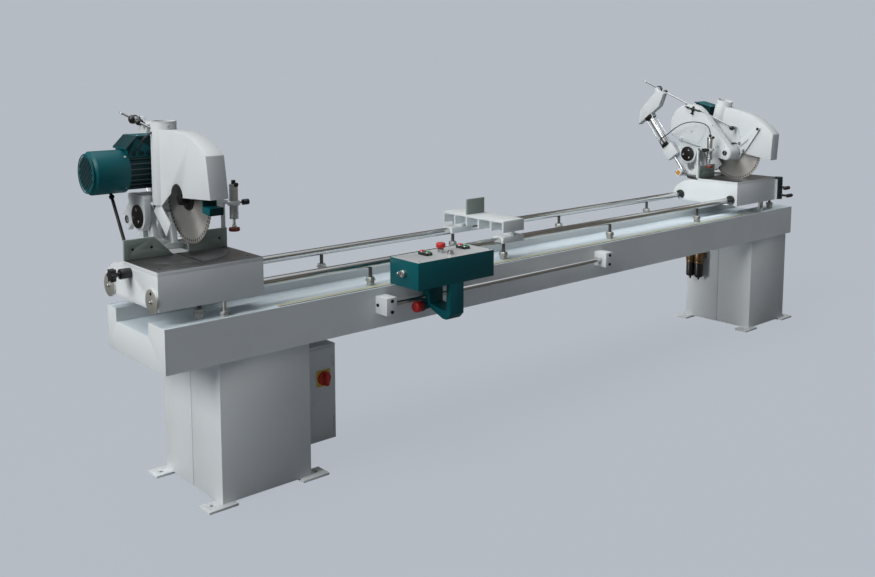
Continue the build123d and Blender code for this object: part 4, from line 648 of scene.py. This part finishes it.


# Head frame
# Every head piece is drawn with u from the blade plane to the middle of the bed, raised,
# then carried to the left head or mirrored onto the lowered right one. The first of them are
# the fence screws, the painted shade in the kerf and the seam round each turntable.
inward = (1, 0, 0)
outward = (-1, 0, 0)
head_x = {"left": -2.116, "right": 1.733}
table_body = {"left": "base", "right": "carriage"}
pivot = Vector((0, 0.226, 1.102))
spindle = Vector((0, -0.058, 1.198))
motor_axis = Vector((0, 0.246, 1.290))
trunnion = Vector((0, 0.3422, 1.0761))
lever_pin = Vector((0, -0.0866, 1.2649))
knob_pin = Vector((0, -0.079, 1.368))
rod_anchor = Vector((0, 0.5238, 1.4729))
lift = 13.2
own_turns = {
    "head": [],
    "cutter": [],
    "lever": [(lever_pin, -26.5)],
    "swing": [(spindle, -29.15)],
    "feed": [(trunnion, -7.01)],
    "rod": [(trunnion, -7.01), (rod_anchor, 5.98)],
}


def carried(side, carrier="table"):
    """Matrix from the raised head's own frame to the machine's."""
    if side == "left":
        return Matrix.Translation((head_x["left"], 0, 0))
    place = Matrix.Translation((head_x["right"], 0, 0)) @ Matrix.Diagonal((-1, 1, 1, 1))
    if carrier not in own_turns:
        return place
    for point, angle in [(pivot, lift), *own_turns[carrier]]:
        turn = Matrix.Rotation(radians(angle), 4, "X")
        place = place @ Matrix.Translation(point) @ turn @ Matrix.Translation(-point)
    return place


def finish_on_head(side, carrier, piece, index, test):
    """As finish_where, with the place and the normal in the raised head's own frame."""
    back = carried(side, carrier).inverted()
    turn = back.to_3x3()
    finish_where(side + "_" + piece, index, lambda place, normal: test(back @ place, turn @ normal))


def on_heads(name, carrier, shape, places, finish):
    """Set copies of a shape on both heads, on the body of their carrier."""
    for side in sides:
        body = table_body[side] if carrier == "table" else side + "_" + carrier
        at = carried(side, carrier)
        fitted(side + "_" + name, shape, [at @ place for place in places], finish, body)


def in_kerf(place, normal):
    """Whether a face lies in the blade's slot, under the deck, where near-black is painted shade."""
    return abs(place.x) < 0.0045 and place.y < 0.15 and place.z < deck_z - 0.0005


dark_steel = metal("dark_steel", (0.05, 0.05, 0.05), 0.45)
fence_places = [facing((u, 0.0535, deck_z + 0.04), forward) for u in (-0.188, -0.1093, 0.0918, 0.188)]
on_heads("fence_screws", "table", socket_screw(0.0052, 0.003), fence_places, black_screw)
seam = turned_shape([
    (0.1985, 0.0), (0.1990, 0.0003), (0.2005, 0.0003), (0.2010, 0.0), (0.1985, 0.0),
], 72)
on_heads("turntable_seam", "table", seam, [facing((0, 0.05, deck_z))], dark_steel)
deck_places = [facing((u, -0.171, deck_z)) for u in (-0.1875, 0.1875)]
on_heads("deck_screws", "table", socket_screw(0.006, 0.0006), deck_places, black_screw)
for side in sides:
    # The kerf's faces take near-black as painted shade.
    finish_on_head(side, "turn", "turntable", 2, in_kerf)


# Clamps
# A small air cylinder in a split ring on a flat post, with a chromed rod and a red pad.
alloy = metal("anodised_alloy", (0.62, 0.64, 0.64), 0.33)
brick_pad = moulded("brick_red_pad", (0.20, 0.035, 0.022), 0.55)
clamp_u = 0.218
clamp_y = -0.02
pad_top = 1.0545


def on_clamp_barrel(place, normal):
    """Whether a face belongs to the clamp's cylinder."""
    return hypot(place.x - clamp_u, place.y - clamp_y) < 0.0178


for side in sides:
    dress(side + "_clamp", light_grey, alloy, black_plastic, edge=0.0008)
    finish_on_head(side, "table", "clamp", 1, on_clamp_barrel)
    finish_on_head(side, "table", "clamp", 2, lambda place, normal: place.x > 0.2405 or place.z > 1.2335)
    dress(side + "_clamp_rod", bright, brick_pad, edge=0.0006)
    finish_where(side + "_clamp_rod", 1, lambda place, normal: place.z < pad_top)
clamp_band = turned_shape([(0.0177, 0.0), (0.0182, 0.001), (0.0182, 0.007), (0.0177, 0.008)])
band_places = [facing((clamp_u, clamp_y, z)) for z in (1.0915, 1.108, 1.205, 1.224)]
on_heads("clamp_bands", "table", clamp_band, band_places, alloy)
air_fitting = turned_shape([
    (0, 0.0005), (0.0085, 0.0005), (0.009, 0.002), (0.009, 0.008), (0.0062, 0.009), (0.0062, 0.0105),
    (0.0045, 0.0105), (0.0045, 0.0125), (0, 0.0125),
], 12)
fitting_place = facing((clamp_u, -0.0375, 1.232), forward)
on_heads("clamp_fitting", "table", air_fitting, [fitting_place], black_plastic)
ring_places = [facing((0.234, y, 1.155), inward) for y in (0.022, 0.048)]
on_heads("clamp_ring_screws", "table", socket_screw(0.0055, 0.005), ring_places, black_screw)
on_heads("pad_nut", "pad", bolt_shape(0.019, 0.011), [facing((clamp_u, clamp_y, pad_top))], bright)


# Yoke, arm, belt cover and guard
# Grey painted castings and a welded sheet guard, near-black inside as painted shade; the pivot pin
# ends in dark discs with three screws, and the belt cover is held by small screws round its rim and
# carries a black air tee.
def on_pivot_disc(place, normal):
    """Whether a face belongs to one of the dark discs on the pivot pin's ends."""
    inner = place.x > 0.0951 and place.y < 0.28
    return place.z < 1.16 and (inner or place.x < -0.0801)


def in_guard(place, normal):
    """Whether a face lies inside the guard's shell, looking at the blade, where it takes painted shade."""
    between = -0.0462 < place.x < 0.0222 and place.y < 0.062
    to_blade = normal.y * (place.y + 0.06) + normal.z * (place.z - 1.22) < 0
    return between and (abs(normal.x) > 0.9 or to_blade)


for side in sides:
    dress(side + "_yoke", light_grey)
    dress(side + "_arm", light_grey, dark_steel)
    finish_on_head(side, "head", "arm", 1, on_pivot_disc)
    dress(side + "_belt_cover", light_grey)
    dress(side + "_guard", light_grey, hollow_painted_shade)
    # The guard's inside is near-black as painted shade.
    finish_on_head(side, "head", "guard", 1, in_guard)
disc_places = []
for face, look in ((-0.087, outward), (0.102, inward)):
    for step in range(3):
        angle = radians(100 + 120 * step)
        spot = pivot + Vector((face, 0.029 * cos(angle), 0.029 * sin(angle)))
        disc_places.append(facing(spot, look))
on_heads("pivot_screws", "head", socket_screw(0.0068, 0.005), disc_places, bright)
bush_ring = turned_shape([
    (0.0115, 0.0005), (0.0128, 0.0015), (0.0165, 0.0015), (0.0172, 0.0005), (0.0172, sunk), (0.0115, sunk),
], 24)
on_heads("eye_bush", "head", bush_ring, [facing(trunnion + Vector((-0.0763, 0, 0)), outward)], dark_steel)
rim_screws = (
    (0.0013, 1.2256), (-0.087, 1.2165), (-0.045, 1.2335), (0.075, 1.342),
    (0.352, 1.198), (0.372, 1.325), (0.300, 1.418), (0.165, 1.404),
)
cover_face = 0.131
cover_places = [facing((0.128, y, z), inward) for y, z in rim_screws]
cover_places.append(facing((cover_face, 0.2108, 1.2606), inward))
on_heads("cover_screws", "head", socket_screw(0.0042, 0.0028), cover_places, zinc)
cover_boss = turned_shape([(0, 0.006), (0.006, 0.006), (0.0085, 0.0045), (0.0095, 0.0), (0.0095, sunk)])
boss_place = facing((0.1308, 0.277, 1.2005), inward)
on_heads("cover_boss", "head", cover_boss, [boss_place], light_grey)
spindle_cap = turned_shape([
    (0, 0.0018), (0.011, 0.0018), (0.0125, 0.0032), (0.0155, 0.0032), (0.0165, 0.002),
    (0.0165, sunk), (0, sunk),
], 24)
cap_middle = spindle + Vector((cover_face, 0, 0))
on_heads("spindle_cap", "head", spindle_cap, [facing(cap_middle, inward)], dark_steel)
pin_hole = turned_shape([(0, 0.0012), (0.0030, 0.0012), (0.0040, 0.0004), (0.0040, sunk), (0, sunk)], 12)
pin_places = [facing(cap_middle + Vector((0.0018, 0, rise)), inward) for rise in (-0.006, 0.006)]
on_heads("spindle_pin_holes", "head", pin_hole, pin_places, bright)
tee_body = turned_shape([
    (0, 0.0), (0.0085, 0.0), (0.0095, 0.002), (0.0095, 0.008), (0.0055, 0.010), (0.0055, 0.022),
    (0.0085, 0.024), (0.0085, 0.040), (0.0060, 0.042), (0.0060, 0.052), (0, 0.054),
], 14)
tee_arm = turned_shape([
    (0, 0.0), (0.0050, 0.0), (0.0062, 0.002), (0.0062, 0.012), (0.0048, 0.014), (0.0048, 0.030),
    (0.0068, 0.032), (0.0068, 0.046), (0.0040, 0.049), (0.0040, 0.060), (0, 0.060),
], 14)
tee_at = Vector((0.140, 0.236, 1.372))
tee_arms = [
    facing(tee_at + Vector((0, 0.002, 0.034)), (0, 1, 0)),
    facing(tee_at + Vector((0, -0.002, 0.034)), (-0.2, -1, 0)),
]
on_heads("air_tee", "head", tee_body, [facing(tee_at)], black_plastic)
on_heads("air_tee_arm", "head", tee_arm, tee_arms, black_plastic)
spout_u = -0.012
spout_y = 0.113
spout_places = []
for angle in (0.4, 2.5, 4.6):
    spot = (spout_u + 0.05 * cos(angle), spout_y + 0.05 * sin(angle), 1.474)
    spout_places.append(facing(spot, (cos(angle), sin(angle), 0)))
on_heads("spout_screws", "head", socket_screw(0.004, 0.003), spout_places, zinc)
spout_lip = turned_shape([
    (0.0462, sunk), (0.0500, sunk), (0.0507, 0.0006), (0.0500, 0.0018), (0.0470, 0.0018), (0.0462, 0.0006),
    (0.0462, sunk),
], 40)
on_heads("spout_lip", "head", spout_lip, [facing((spout_u, spout_y, 1.4905))], light_grey)


# Mitre plate, valve and stop rod
# A thin painted plate on the turntable, a small air valve strapped to the yoke with a plain amber
# plate on its coil, and a black stop rod that rises aslant to each motor.
def plate_shape(length, width, depth, corner):
    """Flat plate with rounded corners, its middle at the origin."""
    form = bmesh.new()
    bmesh.ops.create_cube(form, size=1, matrix=Matrix.Diagonal((length, width, depth, 1)))
    upright = [edge for edge in form.edges if abs(edge.verts[0].co.z - edge.verts[1].co.z) > depth / 2]
    bmesh.ops.bevel(
        form, geom=upright, offset=corner, affect="EDGES", segments=3, profile=0.5, material=-1,
    )
    return mesh_of(form, "plate_shape")


mitre_plate = plate_shape(0.137, 0.089, 0.0003, 0.004)
mitre_place = facing((-0.0065, 0.1055, deck_z + 0.0002))
on_heads("mitre_plate", "turn", mitre_plate, [mitre_place], light_grey)
amber = moulded("amber_label", (0.55, 0.27, 0.03), 0.4)
valve_face = Vector((0.110, 0.290, 0.977))
valve_stem = turned_shape([
    (0, sunk), (0.009, sunk), (0.009, 0.004), (0.0062, 0.005), (0.0062, 0.0165), (0, 0.0165),
])
on_heads("valve_stem", "turn", valve_stem, [facing(valve_face, inward)], zinc)
strap_place = facing(valve_face + Vector((0.0145, -0.018, 0)), inward)
on_heads("valve_strap", "turn", plate_shape(0.056, 0.016, 0.003, 0.004), [strap_place], zinc)
coil_turn = Matrix.Rotation(radians(35), 4, "Z")
coil_place = facing(valve_face + Vector((0.0265, -0.032, 0.004)), inward) @ coil_turn
valve_coil = plate_shape(0.036, 0.048, 0.022, 0.004)
on_heads("valve_coil", "turn", valve_coil, [coil_place], light_grey)
valve_label = plate_shape(0.026, 0.030, 0.0012, 0.002)
label_place = coil_place @ Matrix.Translation((0, -0.004, 0.0112))
on_heads("valve_label", "turn", valve_label, [label_place], amber)
valve_plug = turned_shape([
    (0, 0.013), (0.004, 0.013), (0.0045, 0.012), (0.0045, 0.006), (0.0075, 0.005), (0.0075, sunk), (0, sunk),
], 12)
plug_places = [facing((u, 0.292, 0.989)) for u in (0.086, 0.102)]
on_heads("valve_fittings", "turn", valve_plug, plug_places, black_plastic)
stop_length = 0.250
stop_rod = turned_shape([
    (0, 0.0), (0.0070, 0.0), (0.0085, 0.002), (0.0085, 0.024), (0.0065, 0.026), (0.0065, stop_length - 0.03),
    (0.0105, stop_length - 0.028), (0.0105, stop_length - 0.018), (0.0065, stop_length - 0.016),
    (0.0065, stop_length), (0, stop_length),
], 12)
stop_foot = Vector((-0.170, 0.147, 0.994))
on_heads("stop_rod", "head", stop_rod, [facing(stop_foot, (0, 0.136, 0.217))], black_screw)


# Motor
# Finned cast body with a pressed fan cowl and a terminal box, all sprayed teal, with darker teal as
# painted shade between the fins and on the terminal box's ends and front, and paler paint as a
# painted highlight on the fin edges; the cowl's end carries slanted slots drawn as near-black bars
# of painted shade, and screws hold it.
teal_painted_shade = sprayed("teal_painted_shade", (0.002, 0.03, 0.036), 0.5, shine=0.2)
fin_painted_highlight = sprayed("fin_painted_highlight", (0.075, 0.09, 0.09), 0.45, shine=0.3)


def on_motor_body(place, low, high):
    """Whether a place lies on the finned body, between two distances from the motor's axis."""
    reach = place - motor_axis
    return place.x > -0.131 and low < hypot(reach.y, reach.z) < high


def on_box_side(place, normal):
    """Whether a face is an end or the front of the terminal box, which take painted shade."""
    return place.z > 1.379 and place.x > -0.14 and (abs(normal.x) > 0.3 or normal.y < -0.5)


for side in sides:
    dress(side + "_motor", teal, teal_painted_shade, fin_painted_highlight, edge=0.0008)
    # Painted shade over the finned body, then a painted highlight on the fin crests.
    for index, low, high in ((1, 0, 0.0832), (2, 0.0768, 0.0792)):
        finish_on_head(side, "head", "motor", index, lambda place, normal: on_motor_body(place, low, high))
    # Painted shade on the terminal box's ends and front.
    finish_on_head(side, "head", "motor", 1, on_box_side)
    dress(side + "_rotor", dark_steel, edge=0)
    dress(side + "_drive_belt", black_plastic, edge=0)
cowl_end = facing(motor_axis + Vector((-0.280, 0, 0)), outward)
slot_slant = Matrix.Rotation(radians(38), 4, "Z")
slot_pitch = 0.0185
slot_field = 0.070
# Near-black bars of painted shade stand for the cowl's slots.
for row in range(-3, 4):
    offset = row * slot_pitch
    half = (slot_field ** 2 - offset ** 2) ** 0.5
    bar = plate_shape(2 * half - 0.012, 0.009, 0.0016, 0.0043)
    slot_place = cowl_end @ slot_slant @ Matrix.Translation((0, offset, 0))
    on_heads("cowl_slot_shade_" + str(row + 4), "head", bar, [slot_place], hollow_painted_shade)
cowl_rim = turned_shape([
    (0.0745, sunk), (0.0745, 0.0012), (0.0765, 0.0022), (0.0790, 0.0012), (0.0795, sunk),
], 40)
on_heads("cowl_rim", "head", cowl_rim, [cowl_end], teal)
cowl_radius = 0.087
cowl_places = []
for step in range(4):
    angle = radians(45 + 90 * step)
    around = Vector((0, cos(angle), sin(angle)))
    cowl_places.append(facing(motor_axis + Vector((-0.146, 0, 0)) + around * cowl_radius, around))
on_heads("cowl_screws", "head", socket_screw(0.0048, 0.0032), cowl_places, zinc)
box_gland = turned_shape([
    (0, 0.0035), (0.0035, 0.0035), (0.004, 0.006), (0.009, 0.006), (0.0105, 0.0045),
    (0.0105, -0.003), (0, -0.003),
])
gland_places = [facing((u, 0.191, 1.362), forward) for u in (-0.106, -0.074, -0.042)]
# The glands take the darker teal of the painted shade.
on_heads("box_glands", "head", box_gland, gland_places, teal_painted_shade)
lid_places = [facing((u, y, 1.432)) for u in (-0.086, 0.014) for y in (0.195, 0.297)]
on_heads("lid_screws", "head", socket_screw(0.0042, 0.003), lid_places, zinc)


# Blade and spindle
# A 350 mm blade, ground in rings, with tan carbide tips and near-black plates of painted shade in
# the gullets between its teeth, held between dark steel flanges.
def ring_ground(name, colour, centre):
    """Blade steel with fine rings about the spindle and a sheen that turns with the angle."""
    material, shader, tree = new_material(name)
    shader.inputs["Metallic"].default_value = 0.75
    shader.inputs["Anisotropic"].default_value = 0.8
    middle = add_node(tree, "Mapping", Location=-centre)
    tree.links.new(own_place(tree), middle.inputs["Vector"])
    size = add_node(tree, "VectorMath")
    size.operation = "LENGTH"
    tree.links.new(middle.outputs["Vector"], size.inputs[0])
    rings = add_node(tree, "TexNoise", Scale=260, Detail=5)
    rings.noise_dimensions = "1D"
    tree.links.new(size.outputs["Value"], rings.inputs["W"])
    ring = rings.outputs["Fac"]
    drive(tree, ring, [(0.3, spread(colour, -0.16)), (0.7, colour)], shader.inputs["Base Color"])
    drive(tree, noise(tree, 14, 5), greys(0.3, 0.42), shader.inputs["Roughness"])
    around = add_node(tree, "VectorMath")
    around.operation = "CROSS_PRODUCT"
    around.inputs[0].default_value = (1, 0, 0)
    tree.links.new(middle.outputs["Vector"], around.inputs[1])
    turned = add_node(tree, "VectorTransform")
    turned.vector_type = "VECTOR"
    turned.convert_from = "OBJECT"
    turned.convert_to = "WORLD"
    tree.links.new(around.outputs["Vector"], turned.inputs["Vector"])
    tree.links.new(turned.outputs["Vector"], shader.inputs["Tangent"])
    bump(tree, shader, ring, 0.00006, 0.25)
    return material


for side in sides:
    blade_middle = carried(side, "head") @ spindle
    dress(side + "_blade", ring_ground(side + "_blade_steel", (0.54, 0.53, 0.51), blade_middle), edge=0)
    dress(side + "_spindle", dark_steel, edge=0.0006)
carbide = metal("carbide_tips", (0.62, 0.56, 0.44), 0.4)
teeth = 60
blade_radius = 0.175
tip = plate_shape(0.0070, 0.0066, 0.0040, 0.0006)
# The gullet plates are near-black painted shade.
gullet_shade_plate = plate_shape(0.0095, 0.0072, 0.0036, 0.003)
for name, shape, inset, finish in (("tips", tip, 0.0035, carbide), ("gullet_shades", gullet_shade_plate, 0.0115, hollow_painted_shade)):
    tooth_places = []
    for tooth in range(teeth):
        angle = 2 * pi * (tooth + 0.3) / teeth
        out = Vector((0, cos(angle), sin(angle)))
        spot = facing(spindle + out * (blade_radius - inset), inward)
        tooth_places.append(spot @ Matrix.Rotation(angle, 4, "Z"))
    on_heads("blade_" + name, "cutter", shape, tooth_places, finish)


# Guard linkage and feed cylinder
# Swing guard with a teal lip whose front is darker teal as painted shade, bell crank, link and long
# rod with its clamps, moved by the air cylinder behind each head; the crank's and the link's
# downward faces are black as painted shade, the pins are dark, the cylinder's caps black and its
# barrel drawn alloy. The turntable locks are black plastic, the right one's levers with grips.
slope = radians(45.27)
feed_line = Vector((0, cos(slope), sin(slope)))
feed_side = Vector((0, -sin(slope), cos(slope)))
feed_u = 0.102
lip_radius = 0.1812


def in_barrel(place, start, end):
    """Whether a place lies in a stretch of the feed cylinder's barrel, ties or caps."""
    reach = place - trunnion
    beside = abs(reach.dot(feed_side)) < 0.0275 and abs(place.x - feed_u) < 0.0262
    return beside and start < reach.dot(feed_line) < end


def lower_edge_shade(place, normal):
    """Whether a face is part of a plate's lower edge, which is painted shade."""
    return abs(normal.x) < 0.5 and normal.z < -0.1


def on_lip(place):
    """Whether a place lies on the swing guard's lip, beyond its plate."""
    return hypot(place.y - spindle.y, place.z - spindle.z) > lip_radius


def at_rod_hub(place, normal):
    """Whether a face belongs to the long rod's hub beside the feed cylinder's cover."""
    return (place - rod_anchor).length < 0.09 and place.x > 0.063


rod_steel = metal("rod_steel", (0.40, 0.41, 0.42), 0.42)
barrel_parts = ((1, 0.078, 0.276), (2, 0.0535, 0.0785), (2, 0.2755, 0.3005))
for side in sides:
    dress(side + "_swing_guard", light_grey, teal, teal_painted_shade, edge=0.0006)
    # Teal on the lip, with darker teal on its front faces as painted shade.
    for index, to_front in ((1, False), (2, True)):
        finish_on_head(
            side, "swing", "swing_guard", index,
            lambda place, normal: on_lip(place) and (normal.y < -0.5) == to_front,
        )
    dress(side + "_guard_lever", light_grey, black_screw, edge=0.0008)
    finish_on_head(side, "lever", "guard_lever", 1, lambda place, normal: place.x > 0.0345)
    # The crank's downward faces are black as painted shade.
    finish_where(side + "_guard_lever", 1, lower_edge_shade)
    dress(side + "_guard_link", light_grey, black_screw, edge=0.0006)
    # The link's downward faces are black as painted shade.
    finish_where(side + "_guard_link", 1, lower_edge_shade)
    dress(side + "_guard_rod", rod_steel, black_plastic, edge=0.0004)
    finish_on_head(side, "rod", "guard_rod", 1, at_rod_hub)
    dress(side + "_feed_cylinder", light_grey, alloy, dark_steel, edge=0.0008)
    for index, start, end in barrel_parts:
        finish_on_head(
            side, "feed", "feed_cylinder", index, lambda place, normal: in_barrel(place, start, end),
        )
    dress(side + "_feed_rod", bright, edge=0.0006)
    dress(side + "_lock", black_plastic, edge=0.001)
lock_grip = turned_shape([
    (0, -0.012), (0.0085, -0.012), (0.0115, -0.008), (0.0120, 0.012), (0.0118, 0.040), (0.0095, 0.050),
    (0.0050, 0.055), (0, 0.056),
])
grip_places = [facing((1.989, -0.302, z), (along, 0, 0)) for z, along in ((0.8975, -1), (0.845, 1))]
fitted("right_lock_grips", lock_grip, grip_places, black_plastic, "right_lock_knob")
pin_cap = socket_screw(0.0085, 0.004)
link_pin = Vector((0.040, -0.2328, 1.3324))
crank_pins = [facing(link_pin, inward), facing(lever_pin + Vector((0.035, 0, 0)), inward)]
on_heads("crank_pins", "lever", pin_cap, crank_pins, black_screw)
swing_pin = Vector((0.040, -0.1337, 1.191))
on_heads("swing_pin", "swing", pin_cap, [facing(swing_pin, inward)], black_screw)
rod_knob = turned_shape([
    (0, 0.0), (0.010, 0.0), (0.0135, 0.003), (0.0150, 0.009), (0.0145, 0.016), (0.0115, 0.022),
    (0.0055, 0.025), (0, 0.0255),
])
knob_place = facing(knob_pin + Vector((0.0682, 0, 0)), inward)
on_heads("rod_knob", "lever", rod_knob, [knob_place], black_plastic)
rod_line = (rod_anchor - knob_pin).normalized()
rod_start = rod_anchor + Vector((0.058, 0, 0))
rod_clamp = turned_shape([
    (0, -0.017), (0.008, -0.017), (0.013, -0.013), (0.0155, -0.007), (0.0155, 0.007), (0.013, 0.013),
    (0.008, 0.017), (0, 0.017),
])
clamp_places = []
for back, size in ((-0.012, 1.25), (0.044, 0.9)):
    clamp_places.append(facing(rod_start - rod_line * back, inward) @ Matrix.Scale(size, 4))
on_heads("rod_clamps", "rod", rod_clamp, clamp_places, black_plastic)
rod_tip = turned_shape([
    (0, 0.008), (0.004, 0.008), (0.006, 0.005), (0.0065, 0.0), (0.006, -0.008), (0.0047, -0.009),
], 14)
tip_place = facing(rod_start + rod_line * 0.137, rod_line)
on_heads("rod_tip", "rod", rod_tip, [tip_place], light_grey)


# Motor cable and air hose
# The left motor's grey cable goes from its terminal box to the spout and moves with the head. The
# black air hose goes from the right clamp over to the feed cylinder's lower cap.
grey_rubber = moulded("grey_cable", (0.022, 0.023, 0.025), 0.5)
black_rubber = moulded("black_hose", (0.015, 0.015, 0.016), 0.45)


def route_line(name, route, radius):
    """Curve object along a route, as a round tube or, without a radius, as its bare line."""
    line = bpy.data.curves.new(name, "CURVE")
    line.dimensions = "3D"
    line.bevel_depth = radius
    line.bevel_resolution = 3
    line.resolution_u = 10
    line.use_fill_caps = True
    run = line.splines.new("NURBS")
    run.points.add(len(route) - 1)
    for point, place in zip(run.points, route):
        point.co = (*place, 1)
    run.order_u = 3
    run.use_endpoint_u = True
    piece = bpy.data.objects.new(name, line)
    scene.collection.objects.link(piece)
    return piece


def as_mesh(piece):
    """Mesh of a curve object, which is taken out of the scene."""
    bpy.context.view_layer.update()
    mesh = bpy.data.meshes.new_from_object(piece)
    bpy.data.objects.remove(piece)
    return mesh


def cord_run(name, route, radius):
    """Smooth mesh tube along a route, and the points that it follows."""
    path = [vertex.co.copy() for vertex in as_mesh(route_line(name + "_line", route, 0)).vertices]
    tube = as_mesh(route_line(name + "_tube", route, radius))
    for face in tube.polygons:
        face.use_smooth = True
    piece = bpy.data.objects.new(name, tube)
    scene.collection.objects.link(piece)
    return piece, path


def declare_cord(piece, name, finish):
    """Finish a cord and hide the plain solid of the same name, which it stands for."""
    piece.data.materials.append(finish)
    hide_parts(name)


cable_radius = 0.004
cable_route = [
    (-2.210, 0.191, 1.377), (-2.210, 0.168, 1.380), (-2.210, 0.142, 1.410), (-2.206, 0.125, 1.430),
    (-2.180, 0.113, 1.450),
]
cable, cable_path = cord_run("left_motor_cable_run", cable_route, cable_radius)
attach(cable, "left_head")
declare_cord(cable, "left_motor_cable", grey_rubber)
hose_radius = 0.003
hose_top = Vector((0.218, -0.020, 1.249))
hose_end = Vector((0.1283, 0.394, 1.1487))
hose_arch = ((0.01, 0.4), (0.07, 0.8), (0.2, 1), (0.38, 1.04), (0.58, 0.85), (0.77, 0.38), (0.93, -0.24))
hose_swing = 0.052
hose_drop = 0.050
hose_route = [hose_top]
for along, up in hose_arch:
    hose_route.append(hose_top + Vector((-0.041 * along, 0.370 * along, 0.072 * up)))
hose_route += [
    hose_end + Vector((hose_swing, -hose_swing / 4, hose_drop)),
    hose_end + Vector((hose_swing, -hose_swing / 8, hose_drop / 2)),
    hose_end + Vector((hose_swing / 2, 0, 0)),
    hose_end,
]
hose_route = [carried("right") @ point for point in hose_route]
hose, hose_path = cord_run("right_clamp_hose_run", hose_route, hose_radius)
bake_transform(hose)
declare_cord(hose, "right_clamp_hose", black_rubber)
